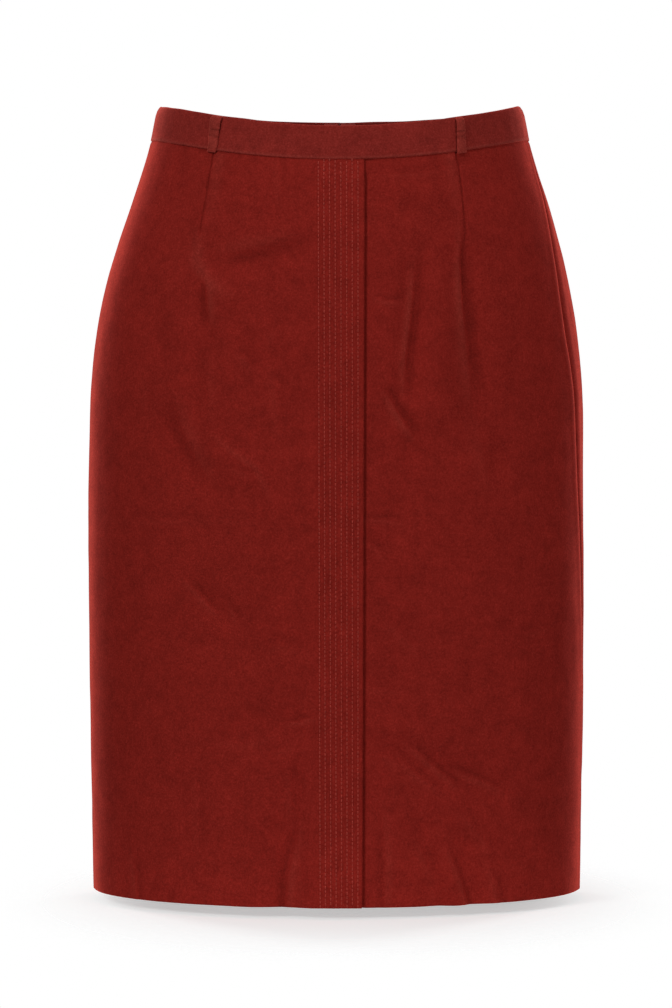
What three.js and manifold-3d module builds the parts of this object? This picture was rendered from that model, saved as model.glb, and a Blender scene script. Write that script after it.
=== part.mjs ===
// A knee-length pencil skirt of thick napped cotton, filled out as it is when worn.
// Millimetres, +Z up. The origin is the centre of the waist at the height of the side waist seam.
// The front faces -Y, and +X is the wearer's left. Angles run round the body from the centre
// front, positive towards +X, so that the centre back is at half a turn.
import * as THREE from "three";
import { mergeVertices } from "three/addons/utils/BufferGeometryUtils.js";
import Module from "manifold-3d";

// Driving dimensions of the garment
const SKIRT_LENGTH = 578.5; // waist seam to hem at the side
const BAND_HEIGHT = 27.5; // waistband at the side
const SEAM_DIP_FRONT = 20.5; // how far the waist seam drops at the centre front
const TOP_DIP_FRONT = 21.8; // the same for the top edge of the band
const DIP_BACK = 4.5;
const CLOTH = 1.4; // wall of one layer
const BAND_PROUD = 0.8; // the band's face stands this far out of the skirt's
const BAND_INSIDE = 1.8; // and its back this far in
const SEAM_GAP = 0.34; // free space between two panels at a seam
const HEM_TURNING = 38; // depth of the turned-up hem
const HEM_STEP = 1; // thickness that the turning adds inside
const ROW_STEP = 23; // height of one row of a panel's grid

// The body of the skirt: half width, depth from the side line to the front and to the back,
// and how far the middle stands from x = 0.
const SECTIONS = [
  { z: 28, half: 139.8, front: 96, back: 97.5, shift: 0 },
  { z: 0, half: 145.5, front: 100, back: 100.5, shift: 0 },
  { z: -20, half: 151.2, front: 103.5, back: 104.5, shift: 0.1 },
  { z: -50, half: 161.3, front: 108, back: 112, shift: 0.2 },
  { z: -80, half: 170.5, front: 111.5, back: 118, shift: -0.6 },
  { z: -110, half: 178.4, front: 113.5, back: 124, shift: -1.4 },
  { z: -145, half: 185.1, front: 115, back: 129, shift: -2 },
  { z: -185, half: 189.4, front: 116, back: 132, shift: -2.2 },
  { z: -235, half: 190.7, front: 116, back: 132, shift: -2.8 },
  { z: -300, half: 191.6, front: 116, back: 130.5, shift: -2.8 },
  { z: -400, half: 191.2, front: 115, back: 127, shift: -2.7 },
  { z: -490, half: 190, front: 114, back: 123.5, shift: -2.7 },
  { z: -580, half: 188.4, front: 113, back: 120, shift: -2.5 },
];

// Where the side seams run: the wearer's right one on the side line, the left one swung forward
// over the hip.
const SIDE_SEAM_RIGHT = [{ z: 0, degrees: -90 }];
const SIDE_SEAM_LEFT = [
  { z: 0, degrees: 84 },
  { z: -40, degrees: 78 },
  { z: -90, degrees: 72 },
  { z: -140, degrees: 69.5 },
  { z: -200, degrees: 73 },
  { z: -255, degrees: 75.5 },
  { z: -330, degrees: 80 },
  { z: -420, degrees: 85 },
  { z: -500, degrees: 88 },
];

// The front lap: the right front ends in a folded edge over the left front, under rows of topstitch
// that press shallow channels into it.
const LAP_EDGE_TOP = 18.7; // x of the folded edge at the waist
const LAP_EDGE_HEM = 16.9;
const STITCH_ROWS = 8;
const STITCH_X = 13.1; // x of the row nearest the folded edge
const STITCH_PITCH_TOP = 4.2;
const STITCH_PITCH_HEM = 4;
const CHANNEL = 0.45; // depth of a stitched channel
const LAP_RISE_FROM = -37; // x where the right front begins to climb over the left
const LAP_RISE_TO = -22;
const UNDERLAP_EDGE = -20; // x of the left front's edge under the lap
const LAP_INNER = 0.6; // underside of the lap over the left front's face
const LAP_WALL = 1.8; // two pressed layers
const LAP_PRESS_DEPTH = 16; // below the waist seam the lap is pressed flat over this height
const PRESSED_OUTER = 0.6; // face of the lap at the waist seam
const PRESSED_WALL = 1.3;
const PRESSED_UNDER = 1.1; // the left front is pushed in this far under the lap at the waist seam
const PRESS_FADE = 10; // and comes back to the body's surface over this width

// Main folds of the cloth. Each is a soft trough along a path of [x, z] points on one face; a
// ridge has a negative depth.
const FOLDS = [
  { face: "front", depth: 3.4, width: 11, path: [[56, -104], [55, -150], [52, -191]] },
  { face: "front", depth: 2.4, width: 10, path: [[38, -199], [57, -221], [56, -250]] },
  { face: "front", depth: -2, width: 17, path: [[75, -110], [74, -165], [68, -215]] },
  { face: "front", depth: 3, width: 13, path: [[94, -95], [98, -142], [103, -214], [118, -250]] },
  { face: "front", depth: 2.2, width: 14, path: [[-105, -84], [-102, -140], [-101, -204]] },
  { face: "front", depth: 2, width: 14, path: [[-88, -93], [-58, -96], [-30, -88]] },
  { face: "front", depth: 2.2, width: 12, path: [[-126, -214], [-114, -240], [-99, -263]] },
  { face: "front", depth: -1.6, width: 13, path: [[-88, -242], [-61, -255]] },
  { face: "front", depth: 2.4, width: 11, path: [[-97, -347], [-80, -363]] },
  { face: "front", depth: 2.2, width: 13, path: [[40, -458], [68, -474], [97, -489], [122, -494]] },
  { face: "front", depth: -1.5, width: 12, path: [[52, -482], [84, -503]] },
  { face: "front", depth: 2.6, width: 12, path: [[63, -524], [70, -548], [76, -580]] },
  { face: "front", depth: 2.6, width: 12, path: [[92, -530], [99, -556], [105, -582]] },
  { face: "front", depth: -2, width: 10, path: [[83, -540], [90, -582]] },
  { face: "front", depth: 2, width: 16, path: [[-78, -449], [-35, -438]] },
  { face: "front", depth: 2.6, width: 15, path: [[-31, -486], [-33, -530], [-41, -582]] },
  { face: "front", depth: -1.8, width: 16, path: [[-60, -505], [-68, -582]] },
  { face: "back", depth: 3, width: 17, path: [[-58, -96], [-22, -104], [18, -102], [60, -94]] },
  { face: "back", depth: -2, width: 15, path: [[-48, -122], [0, -130], [50, -120]] },
  { face: "back", depth: 3, width: 16, path: [[-104, -262], [-70, -284], [-34, -292]] },
  { face: "back", depth: 2.6, width: 15, path: [[98, -268], [66, -288], [36, -294]] },
  { face: "back", depth: 2.6, width: 16, path: [[-72, -430], [-64, -500], [-70, -582]] },
  { face: "back", depth: -2, width: 17, path: [[-38, -450], [-36, -582]] },
  { face: "back", depth: 2.8, width: 16, path: [[66, -440], [60, -510], [68, -582]] },
];
const FOLD_FADE_SIDE = 150; // folds die out between this |x| and the side line
const FOLD_FADE_EDGE = 178;

// Belt loops: x of the middle at the band's top and at the waist seam
const LOOPS = [
  { name: "belt_loop_front_right", face: "front", top: -92.5, foot: -96.2 },
  { name: "belt_loop_front_left", face: "front", top: 91.2, foot: 91.9 },
  { name: "belt_loop_back_right", face: "back", top: -106, foot: -106 },
  { name: "belt_loop_back_left", face: "back", top: 106, foot: 106 },
];
const LOOP_WIDTH = 8;
const LOOP_CLOTH = 1.2;
// The loop's middle line, seen edge on: how far out of the body's surface, and the height, from
// the band's top edge where the row says "top" and otherwise from the waist seam.
const LOOP_LINE = [
  { from: "top", rise: 1.25, out: -1.4 },
  { from: "top", rise: 1.25, out: 0.7 },
  { from: "top", rise: -0.2, out: 1.95 },
  { from: "top", rise: -4, out: 2.5 },
  { from: "top", rise: -10, out: 3.2 },
  { from: "seam", rise: 10, out: 3.2 },
  { from: "seam", rise: 4.5, out: 2.5 },
  { from: "seam", rise: 1, out: 1.75 },
  { from: "seam", rise: -1.8, out: 1.2 },
];

// The concealed zip in the centre back seam
const ZIP_TOP = 21; // top end of the tapes
const ZIP_END = -182;
const TAPE_WIDTH = 12;
const TAPE_FACE = 2.25; // the tape's face lies this far inside the body's surface
const TAPE_THICK = 1;
const CHAIN_HALF = 2.5;
const CHAIN_THICK = 1.6;
const LAYER_GAP = 0.35; // free space between tape, chain and slider
const SLIT_HALF_OPEN = 0.9; // half the slit where the slider's neck comes through
const SLIT_HALF_SHUT = 0.35; // half the slit along the closed zip
const SLIT_CLOSES = 20; // the slit narrows over this height below the slider
const SLIDER_Z = 14;
const SLIDER_LENGTH = 11;
const SLIDER_HALF = 3.9;
const SLIDER_WALL = 1.2;
const SLIDER_SIDE = 0.9;
const WELD = 0.1; // joined pieces run into each other by this much
const NECK_THICK = 1.1;
const NECK_LENGTH = 5;
const EYE_OUT = 3.3; // the eye's centre, out of the body's surface
const EYE_RISE = 1.5; // and above the slider's middle
const EYE_RADIUS = 1.25;
const EYE_RIM = 2.4;
const PIN_RADIUS = 0.85;
const ARM_INSIDE = 0.95; // the two arms of the pull stand either side of the neck
const ARM_THICK = 0.8;
const ARM_ROUND = 1.55;
const ARM_REACH = 4.6;
const PULL_LENGTH = 24;
const PULL_THICK = 1.2;
const PULL_TOP_HALF = 1.75;
const PULL_FOOT_HALF = 3;
const PULL_HOLE = 1.3;
const PULL_TILT = THREE.MathUtils.degToRad(2); // at rest the pull's foot stands out a little
const ROUND_STEPS = 12;

const ZIP_METAL = 0x7b3a30;
const RUST_CLOTH = 0x6e1d17;
const BAND_CLOTH = 0x731f18;

const { clamp, degToRad, lerp, smoothstep } = THREE.MathUtils;

// A table's value at a height, on a smooth curve through its rows.
function along(rows, key, z) {
  if (rows.length === 1 || z >= rows[0].z) return rows[0][key];
  const last = rows.length - 1;
  if (z <= rows[last].z) return rows[last][key];
  const i = rows.findIndex((row) => row.z < z) - 1;
  const slope = (k) => {
    const a = rows[Math.max(0, k - 1)];
    const b = rows[Math.min(last, k + 1)];
    return (b[key] - a[key]) / (b.z - a.z);
  };
  const span = rows[i + 1].z - rows[i].z;
  const t = (z - rows[i].z) / span;
  const start = (1 + 2 * t) * (1 - t) ** 2 * rows[i][key] + t * (1 - t) ** 2 * span * slope(i);
  const end = t * t * (3 - 2 * t) * rows[i + 1][key] + t * t * (t - 1) * span * slope(i + 1);
  return start + end;
}

// The shortest way from a point to a path of straight pieces.
function distanceTo(path, x, z) {
  let nearest = Infinity;
  for (let i = 0; i + 1 < path.length; i++) {
    const [ax, az] = path[i];
    const [bx, bz] = path[i + 1];
    const share = ((x - ax) * (bx - ax) + (z - az) * (bz - az)) / ((bx - ax) ** 2 + (bz - az) ** 2);
    const t = clamp(share, 0, 1);
    nearest = Math.min(nearest, Math.hypot(x - lerp(ax, bx, t), z - lerp(az, bz, t)));
  }
  return nearest;
}

// How far the folds move the cloth out at a place on one face.
function foldAt(face, x, z) {
  let out = 0;
  for (const fold of FOLDS) {
    if (fold.face !== face) continue;
    const u = distanceTo(fold.path, x, z) / fold.width;
    out -= fold.depth * (1 - 0.5 * u * u) * Math.exp(-u * u);
  }
  return out * (1 - smoothstep(Math.abs(x), FOLD_FADE_SIDE, FOLD_FADE_EDGE));
}

// A point of the cloth: offset is measured outwards, square to the body's outline seen from above.
function place(angle, z, offset) {
  const half = along(SECTIONS, "half", z);
  const face = Math.cos(angle) > 0 ? "front" : "back";
  const depth = along(SECTIONS, face, z);
  const x = half * Math.sin(angle);
  const y = -depth * Math.cos(angle);
  const normal = new THREE.Vector2(x / half ** 2, y / depth ** 2).normalize();
  const out = offset + foldAt(face, x, z);
  return [x + along(SECTIONS, "shift", z) + normal.x * out, y + normal.y * out, z];
}

// The angle of a place that is given by its x on the front or the back.
function angleOf(face, x, z) {
  const share = (x - along(SECTIONS, "shift", z)) / along(SECTIONS, "half", z);
  const turn = Math.asin(clamp(share, -1, 1));
  if (face === "front") return turn;
  return turn < 0 ? -Math.PI - turn : Math.PI - turn;
}

function dipAt(angle, frontDip) {
  const c = Math.cos(angle);
  return (c > 0 ? frontDip : DIP_BACK) * c * c;
}

function seamHeight(angle) {
  return -dipAt(angle, SEAM_DIP_FRONT);
}

function topHeight(angle) {
  return BAND_HEIGHT - dipAt(angle, TOP_DIP_FRONT);
}

// A closed mesh from its triangles' corners.
function solidMesh(name, geometry, colour, metalness = 0) {
  const bare = geometry.index ? geometry.toNonIndexed() : geometry;
  for (const extra of ["normal", "uv"]) bare.deleteAttribute(extra);
  const merged = mergeVertices(bare, 1e-4);
  merged.computeVertexNormals();
  const roughness = metalness > 0 ? 0.45 : 0.95;
  const material = new THREE.MeshStandardMaterial({ color: colour, roughness, metalness });
  const mesh = new THREE.Mesh(merged, material);
  mesh.name = name;
  return mesh;
}

// A wall between two grids of points: rows run down and columns run towards rising angles.
function wall(name, outer, inner, colour) {
  const corners = [];
  const quad = (a, b, c, d) => corners.push(a, b, c, a, c, d);
  const lastRow = outer.length - 1;
  const lastColumn = outer[0].length - 1;
  for (let r = 0; r < lastRow; r++) {
    for (let c = 0; c < lastColumn; c++) {
      quad(outer[r][c], outer[r + 1][c], outer[r + 1][c + 1], outer[r][c + 1]);
      quad(inner[r][c], inner[r][c + 1], inner[r + 1][c + 1], inner[r + 1][c]);
    }
    quad(outer[r][0], inner[r][0], inner[r + 1][0], outer[r + 1][0]);
    quad(inner[r][lastColumn], outer[r][lastColumn], outer[r + 1][lastColumn], inner[r + 1][lastColumn]);
  }
  for (let c = 0; c < lastColumn; c++) {
    quad(outer[0][c], outer[0][c + 1], inner[0][c + 1], inner[0][c]);
    quad(inner[lastRow][c], inner[lastRow][c + 1], outer[lastRow][c + 1], outer[lastRow][c]);
  }
  const geometry = new THREE.BufferGeometry();
  geometry.setAttribute("position", new THREE.Float32BufferAttribute(corners.flat(), 3));
  return solidMesh(name, geometry, colour);
}

// How far down the skirt the rows of a panel lie, as shares of its length.
function panelRows() {
  const depths = [0, LAP_PRESS_DEPTH / 2, LAP_PRESS_DEPTH];
  const hemTop = SKIRT_LENGTH - HEM_TURNING;
  const count = Math.round((hemTop - LAP_PRESS_DEPTH) / ROW_STEP);
  for (let k = 1; k <= count; k++) depths.push(lerp(LAP_PRESS_DEPTH, hemTop, k / count));
  depths.push(hemTop + 1, SKIRT_LENGTH - HEM_TURNING / 2, SKIRT_LENGTH);
  return depths.map((depth) => depth / SKIRT_LENGTH);
}

// A panel of the skirt. Each column gives its angle at a height, how far its face and its back lie
// from the body's surface, and how much of the hem's turning lies inside it.
function panel(name, columns) {
  const outer = [];
  const inner = [];
  for (const share of panelRows()) {
    const outerRow = [];
    const innerRow = [];
    for (const column of columns) {
      let z = -share * SKIRT_LENGTH;
      let angle = column.angle(z);
      for (let pass = 0; pass < 3; pass++) {
        z = lerp(seamHeight(angle), -SKIRT_LENGTH, share);
        angle = column.angle(z);
      }
      const turned = z < HEM_TURNING - SKIRT_LENGTH - 0.5 ? HEM_STEP * column.turning(z) : 0;
      outerRow.push(place(angle, z, column.face(z)));
      innerRow.push(place(angle, z, column.back(z) - turned));
    }
    outer.push(outerRow);
    inner.push(innerRow);
  }
  return wall(name, outer, inner, RUST_CLOTH);
}

// The angle that a width along the cloth takes up, near the side line and near the centre.
const sideAngle = (width, z) => width / along(SECTIONS, "front", z);
const centreAngle = (width, z) => width / along(SECTIONS, "half", z);

function sideSeam(side, z) {
  const rows = side === "left" ? SIDE_SEAM_LEFT : SIDE_SEAM_RIGHT;
  return degToRad(along(rows, "degrees", z));
}

// Half of the opening between the two sides of the centre back seam.
function backHalfGap(z) {
  if (z < ZIP_END) return SEAM_GAP / 2;
  const share = smoothstep(z, SLIDER_Z - SLIDER_LENGTH - SLIT_CLOSES, SLIDER_Z - SLIDER_LENGTH / 2);
  return lerp(SLIT_HALF_SHUT, SLIT_HALF_OPEN, share);
}

// How much of its full height the lap has at a place below the waist seam.
function lapFullness(x, z) {
  const seam = seamHeight(angleOf("front", x, z));
  return smoothstep(seam - z, 0, LAP_PRESS_DEPTH);
}

const lapEdge = (z) => lerp(LAP_EDGE_TOP, LAP_EDGE_HEM, -z / SKIRT_LENGTH);
const stitchPitch = (z) => lerp(STITCH_PITCH_TOP, STITCH_PITCH_HEM, -z / SKIRT_LENGTH);

// A column of the right front where it climbs over the left front, or lies over it.
function lapColumn(xAt, channel) {
  const risen = (z) => smoothstep(xAt(z), LAP_RISE_FROM, LAP_RISE_TO);
  const full = (z) => lapFullness(xAt(z), z);
  const faceOver = (z) => lerp(PRESSED_OUTER, LAP_INNER + LAP_WALL, full(z));
  const backOver = (z) => lerp(PRESSED_OUTER - PRESSED_WALL, LAP_INNER, full(z));
  return {
    angle: (z) => angleOf("front", xAt(z), z),
    face: (z) => lerp(0, faceOver(z), risen(z)) - channel * full(z),
    back: (z) => lerp(-CLOTH, backOver(z), risen(z)),
    turning: (z) => 1 - risen(z),
  };
}

// A column of the left front, which is pushed in under the lap at the waist seam.
function underColumn(xAt) {
  const pushed = (z) => {
    const covered = 1 - smoothstep(xAt(z), lapEdge(z), lapEdge(z) + PRESS_FADE);
    return PRESSED_UNDER * (1 - lapFullness(xAt(z), z)) * covered;
  };
  return {
    angle: (z) => angleOf("front", xAt(z), z),
    face: (z) => -pushed(z),
    back: (z) => -CLOTH - pushed(z),
    turning: () => 1,
  };
}

// Plain columns from one angle to another, both of which may change with the height.
function plainColumns(from, to, count) {
  return Array.from({ length: count }, (_, k) => ({
    angle: (z) => lerp(from(z), to(z), k / (count - 1)),
    face: () => 0,
    back: () => -CLOTH,
    turning: () => 1,
  }));
}

function frontRight() {
  const seam = (z) => sideSeam("right", z) + sideAngle(SEAM_GAP / 2, z);
  const climb = (z) => angleOf("front", LAP_RISE_FROM, z);
  const columns = plainColumns(seam, climb, 16);
  const rise = LAP_RISE_TO - LAP_RISE_FROM;
  for (const share of [0.35, 0.7, 1]) {
    columns.push(lapColumn(() => LAP_RISE_FROM + share * rise, 0));
  }
  for (let row = STITCH_ROWS - 1; row >= 0; row--) {
    columns.push(lapColumn((z) => STITCH_X - row * stitchPitch(z), CHANNEL));
    if (row > 0) columns.push(lapColumn((z) => STITCH_X - (row - 0.5) * stitchPitch(z), 0));
  }
  columns.push(lapColumn((z) => lerp(STITCH_X, lapEdge(z), 0.5), 0));
  columns.push(lapColumn(lapEdge, 0));
  return panel("front_right", columns);
}

function frontLeft() {
  const columns = [];
  const UNDER_STEPS = 6;
  for (let k = 0; k <= UNDER_STEPS; k++) {
    columns.push(underColumn((z) => lerp(UNDERLAP_EDGE, lapEdge(z), k / UNDER_STEPS)));
  }
  for (const width of [PRESS_FADE / 2, PRESS_FADE]) {
    columns.push(underColumn((z) => lapEdge(z) + width));
  }
  const start = (z) => angleOf("front", lapEdge(z) + 2 * PRESS_FADE, z);
  const seam = (z) => sideSeam("left", z) - sideAngle(SEAM_GAP / 2, z);
  columns.push(...plainColumns(start, seam, 15));
  return panel("front_left", columns);
}

function backLeft() {
  const seam = (z) => sideSeam("left", z) + sideAngle(SEAM_GAP / 2, z);
  const centre = (z) => Math.PI - centreAngle(backHalfGap(z), z);
  return panel("back_left", plainColumns(seam, centre, 14));
}

function backRight() {
  const centre = (z) => centreAngle(backHalfGap(z), z) - Math.PI;
  const seam = (z) => sideSeam("right", z) - sideAngle(SEAM_GAP / 2, z);
  return panel("back_right", plainColumns(centre, seam, 12));
}

// The waistband runs once round from one side of the zip to the other.
function waistband() {
  const COLUMNS = 61;
  const lower = (angle) => seamHeight(angle) + SEAM_GAP;
  // Rows from the top edge down: share of the height, and how far the edge is rounded in there.
  const rows = [
    { share: 1, rounded: 0.7 },
    { share: 0.96, rounded: 0 },
    { share: 0.5, rounded: 0 },
    { share: 0.05, rounded: 0 },
    { share: 0, rounded: 0.4 },
  ];
  const face = (row) => BAND_PROUD - row.rounded;
  const back = (row) => row.rounded - BAND_INSIDE;
  const grid = (offset) =>
    rows.map((row) =>
      Array.from({ length: COLUMNS }, (_, k) => {
        const end = Math.PI - centreAngle(SLIT_HALF_OPEN, 0);
        const angle = lerp(-end, end, k / (COLUMNS - 1));
        return place(angle, lerp(lower(angle), topHeight(angle), row.share), offset(row));
      }),
    );
  return wall("waistband", grid(face), grid(back), BAND_CLOTH);
}

// A belt loop: a narrow strip turned over the band's top edge and caught below the waist seam.
function beltLoop({ name, face, top, foot }) {
  const turn = face === "front" ? 1 : -1;
  const stepAt = (angle, { from, rise }) =>
    rise + (from === "top" ? topHeight(angle) : seamHeight(angle));
  const column = (side, share) => {
    const shift = turn * share * LOOP_WIDTH;
    const line = LOOP_LINE.map((step) => {
      const x = (step.from === "top" ? top : foot) + shift;
      return { out: step.out, z: stepAt(angleOf(face, x, 0), step) };
    });
    const last = line.length - 1;
    return line.map((point, i) => {
      const before = line[Math.max(0, i - 1)];
      const after = line[Math.min(last, i + 1)];
      const run = new THREE.Vector2(after.out - before.out, after.z - before.z).normalize();
      const out = point.out - side * run.y * LOOP_CLOTH * 0.5;
      const z = point.z + side * run.x * LOOP_CLOTH * 0.5;
      const x = shift + lerp(top, foot, (line[0].z - point.z) / (line[0].z - line[last].z));
      return place(angleOf(face, x, point.z), z, out);
    });
  };
  const grid = (side) => {
    const columns = [-0.5, 0, 0.5].map((share) => column(side, share));
    return LOOP_LINE.map((_, i) => columns.map((points) => points[i]));
  };
  return wall(name, grid(1), grid(-1), BAND_CLOTH);
}

// A strip of the zip, laid inside the centre back seam. Widths are measured from the seam,
// positive towards the wearer's right, which is the way that angles rise there.
function zipStrip(name, fromWidth, toWidth, top, face, thick, colour) {
  const COLUMNS = 3;
  const seamRows = panelRows().map((share) => lerp(-DIP_BACK, -SKIRT_LENGTH, share));
  const heights = [top, top / 2, ...seamRows.filter((z) => z > ZIP_END), ZIP_END];
  const grid = (offset) =>
    heights.map((z) =>
      Array.from({ length: COLUMNS }, (_, c) => {
        const width = lerp(fromWidth, toWidth, c / (COLUMNS - 1));
        return place(Math.PI + centreAngle(width, z), z, offset);
      }),
    );
  return wall(name, grid(-face), grid(-face - thick), colour);
}

const wasm = await Module();
wasm.setup();

function toManifold(geometry) {
  const bare = geometry.index ? geometry.toNonIndexed() : geometry;
  for (const extra of ["normal", "uv"]) bare.deleteAttribute(extra);
  const merged = mergeVertices(bare, 1e-4);
  const vertProperties = new Float32Array(merged.attributes.position.array);
  const triVerts = new Uint32Array(merged.index.array);
  return new wasm.Manifold(new wasm.Mesh({ numProp: 3, vertProperties, triVerts }));
}

function joined(geometries) {
  const solids = geometries.map(toManifold);
  const { vertProperties, triVerts } = solids.reduce((sum, next) => sum.add(next)).getMesh();
  const geometry = new THREE.BufferGeometry();
  geometry.setAttribute("position", new THREE.BufferAttribute(vertProperties, 3));
  geometry.setIndex(new THREE.BufferAttribute(triVerts, 1));
  return geometry;
}

// A box from its lowest and highest corners.
function boxBetween(low, high) {
  const size = high.map((value, i) => value - low[i]);
  const box = new THREE.BoxGeometry(...size);
  return box.translate(...high.map((value, i) => (value + low[i]) / 2));
}

// A flat plate whose outline is drawn in the YZ plane, centred on x = 0.
function plateYZ(shape, thick) {
  const options = { depth: thick, bevelEnabled: false, curveSegments: ROUND_STEPS };
  const plate = new THREE.ExtrudeGeometry(shape, options);
  plate.translate(0, 0, -thick / 2);
  plate.rotateY(Math.PI / 2);
  return plate.rotateX(Math.PI / 2);
}

// The slider: a back plate with two side walls round the chain, and a neck that comes out through
// the slit and ends in the eye for the pull.
function zipSlider() {
  const chainBack = TAPE_FACE + TAPE_THICK + LAYER_GAP + CHAIN_THICK;
  const plateFace = -chainBack - LAYER_GAP;
  const plateBack = plateFace - SLIDER_WALL;
  const wallFace = -TAPE_FACE - TAPE_THICK - LAYER_GAP;
  const halfLength = SLIDER_LENGTH / 2;
  const parts = [boxBetween([-SLIDER_HALF, plateBack, -halfLength], [SLIDER_HALF, plateFace, halfLength])];
  for (const side of [-1, 1]) {
    const middle = side * (SLIDER_HALF - SLIDER_SIDE / 2);
    const low = [middle - SLIDER_SIDE / 2, plateFace - WELD, -halfLength];
    parts.push(boxBetween(low, [middle + SLIDER_SIDE / 2, wallFace, halfLength]));
  }
  const neck = new THREE.Shape();
  neck.moveTo(plateFace - WELD, 0);
  neck.lineTo(EYE_OUT, EYE_RISE - EYE_RIM);
  neck.absarc(EYE_OUT, EYE_RISE, EYE_RIM, -Math.PI / 2, Math.PI / 2, false);
  neck.lineTo(plateFace - WELD, NECK_LENGTH);
  neck.closePath();
  const eye = new THREE.Path();
  eye.absarc(EYE_OUT, EYE_RISE, EYE_RADIUS, 0, 2 * Math.PI, true);
  neck.holes.push(eye);
  parts.push(plateYZ(neck, NECK_THICK));
  return solidMesh("zip_slider", joined(parts), ZIP_METAL, 0.6);
}

// The pull hangs on a pin through the slider's eye. It is drawn about the pin, hanging down.
function zipPull() {
  const pinLength = 2 * (ARM_INSIDE + ARM_THICK) - WELD;
  const pin = new THREE.CylinderGeometry(PIN_RADIUS, PIN_RADIUS, pinLength, ROUND_STEPS);
  const parts = [pin.rotateZ(Math.PI / 2)];
  for (const side of [-1, 1]) {
    const arm = new THREE.Shape();
    arm.absarc(0, 0, ARM_ROUND, 0, Math.PI, false);
    arm.lineTo(-PULL_THICK / 2, -ARM_REACH);
    arm.lineTo(PULL_THICK / 2, -ARM_REACH);
    arm.closePath();
    parts.push(plateYZ(arm, ARM_THICK).translate(side * (ARM_INSIDE + ARM_THICK / 2), 0, 0));
  }
  const tab = new THREE.Shape();
  const shoulder = -EYE_RIM - 2 * LAYER_GAP;
  const footCentre = PULL_FOOT_HALF - PULL_LENGTH;
  tab.moveTo(-PULL_TOP_HALF, shoulder);
  tab.lineTo(-PULL_FOOT_HALF, footCentre);
  tab.absarc(0, footCentre, PULL_FOOT_HALF, Math.PI, 2 * Math.PI, false);
  tab.lineTo(PULL_TOP_HALF, shoulder);
  tab.closePath();
  const hole = new THREE.Path();
  hole.absarc(0, footCentre, PULL_HOLE, 0, 2 * Math.PI, true);
  tab.holes.push(hole);
  const options = { depth: PULL_THICK, bevelEnabled: false, curveSegments: ROUND_STEPS };
  const plate = new THREE.ExtrudeGeometry(tab, options);
  parts.push(plate.translate(0, 0, -PULL_THICK / 2).rotateX(Math.PI / 2));
  const mesh = solidMesh("zip_pull", joined(parts), ZIP_METAL, 0.6);
  mesh.rotation.x = PULL_TILT;
  mesh.position.set(0, EYE_OUT, EYE_RISE);
  return mesh;
}

// The slider and its pull, set square to the slope of the centre back.
function zipHead() {
  const reach = SLIDER_LENGTH / 2;
  const below = along(SECTIONS, "back", SLIDER_Z - reach);
  const above = along(SECTIONS, "back", SLIDER_Z + reach);
  const head = new THREE.Group();
  head.rotation.x = Math.atan((below - above) / SLIDER_LENGTH);
  head.position.set(along(SECTIONS, "shift", SLIDER_Z), along(SECTIONS, "back", SLIDER_Z), SLIDER_Z);
  head.add(zipSlider(), zipPull());
  return head;
}

const skirt = new THREE.Group();
skirt.name = "pencil_skirt";
skirt.add(frontRight(), frontLeft(), backRight(), backLeft(), waistband());
skirt.add(...LOOPS.map(beltLoop));
const edge = SLIT_HALF_OPEN;
const tapeTo = edge + TAPE_WIDTH;
const chainFace = TAPE_FACE + TAPE_THICK + LAYER_GAP;
const chainTop = SLIDER_Z - 0.6;
skirt.add(zipStrip("zip_tape_right", edge, tapeTo, ZIP_TOP, TAPE_FACE, TAPE_THICK, RUST_CLOTH));
skirt.add(zipStrip("zip_tape_left", -tapeTo, -edge, ZIP_TOP, TAPE_FACE, TAPE_THICK, RUST_CLOTH));
skirt.add(zipStrip("zip_chain", -CHAIN_HALF, CHAIN_HALF, chainTop, chainFace, CHAIN_THICK, RUST_CLOTH));
skirt.add(zipHead());

export default skirt;
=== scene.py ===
# A pencil skirt of thick napped cotton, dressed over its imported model.
# Sizes are in millimetres, in the model's frame, and become metres where a mesh is made.
import math

import bmesh
import bpy
import numpy as np
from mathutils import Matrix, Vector


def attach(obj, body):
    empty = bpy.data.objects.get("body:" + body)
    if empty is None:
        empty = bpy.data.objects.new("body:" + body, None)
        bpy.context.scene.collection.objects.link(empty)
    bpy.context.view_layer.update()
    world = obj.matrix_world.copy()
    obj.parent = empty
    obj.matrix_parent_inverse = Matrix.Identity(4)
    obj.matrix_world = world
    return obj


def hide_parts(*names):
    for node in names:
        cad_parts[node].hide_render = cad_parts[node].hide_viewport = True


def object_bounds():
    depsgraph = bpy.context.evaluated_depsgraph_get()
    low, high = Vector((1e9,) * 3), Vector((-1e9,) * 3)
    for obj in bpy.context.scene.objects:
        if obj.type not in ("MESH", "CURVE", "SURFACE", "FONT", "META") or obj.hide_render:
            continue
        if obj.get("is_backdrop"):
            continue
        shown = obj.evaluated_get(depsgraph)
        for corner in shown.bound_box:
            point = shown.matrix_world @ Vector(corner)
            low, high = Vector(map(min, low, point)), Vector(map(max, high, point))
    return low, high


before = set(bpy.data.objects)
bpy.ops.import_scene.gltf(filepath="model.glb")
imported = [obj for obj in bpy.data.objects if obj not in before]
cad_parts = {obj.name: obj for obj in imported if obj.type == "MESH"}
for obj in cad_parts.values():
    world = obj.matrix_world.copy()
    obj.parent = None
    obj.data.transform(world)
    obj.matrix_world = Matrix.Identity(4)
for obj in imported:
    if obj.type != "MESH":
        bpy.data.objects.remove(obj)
cad_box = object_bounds()

MM = 0.001
BODY = "skirt"

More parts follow.
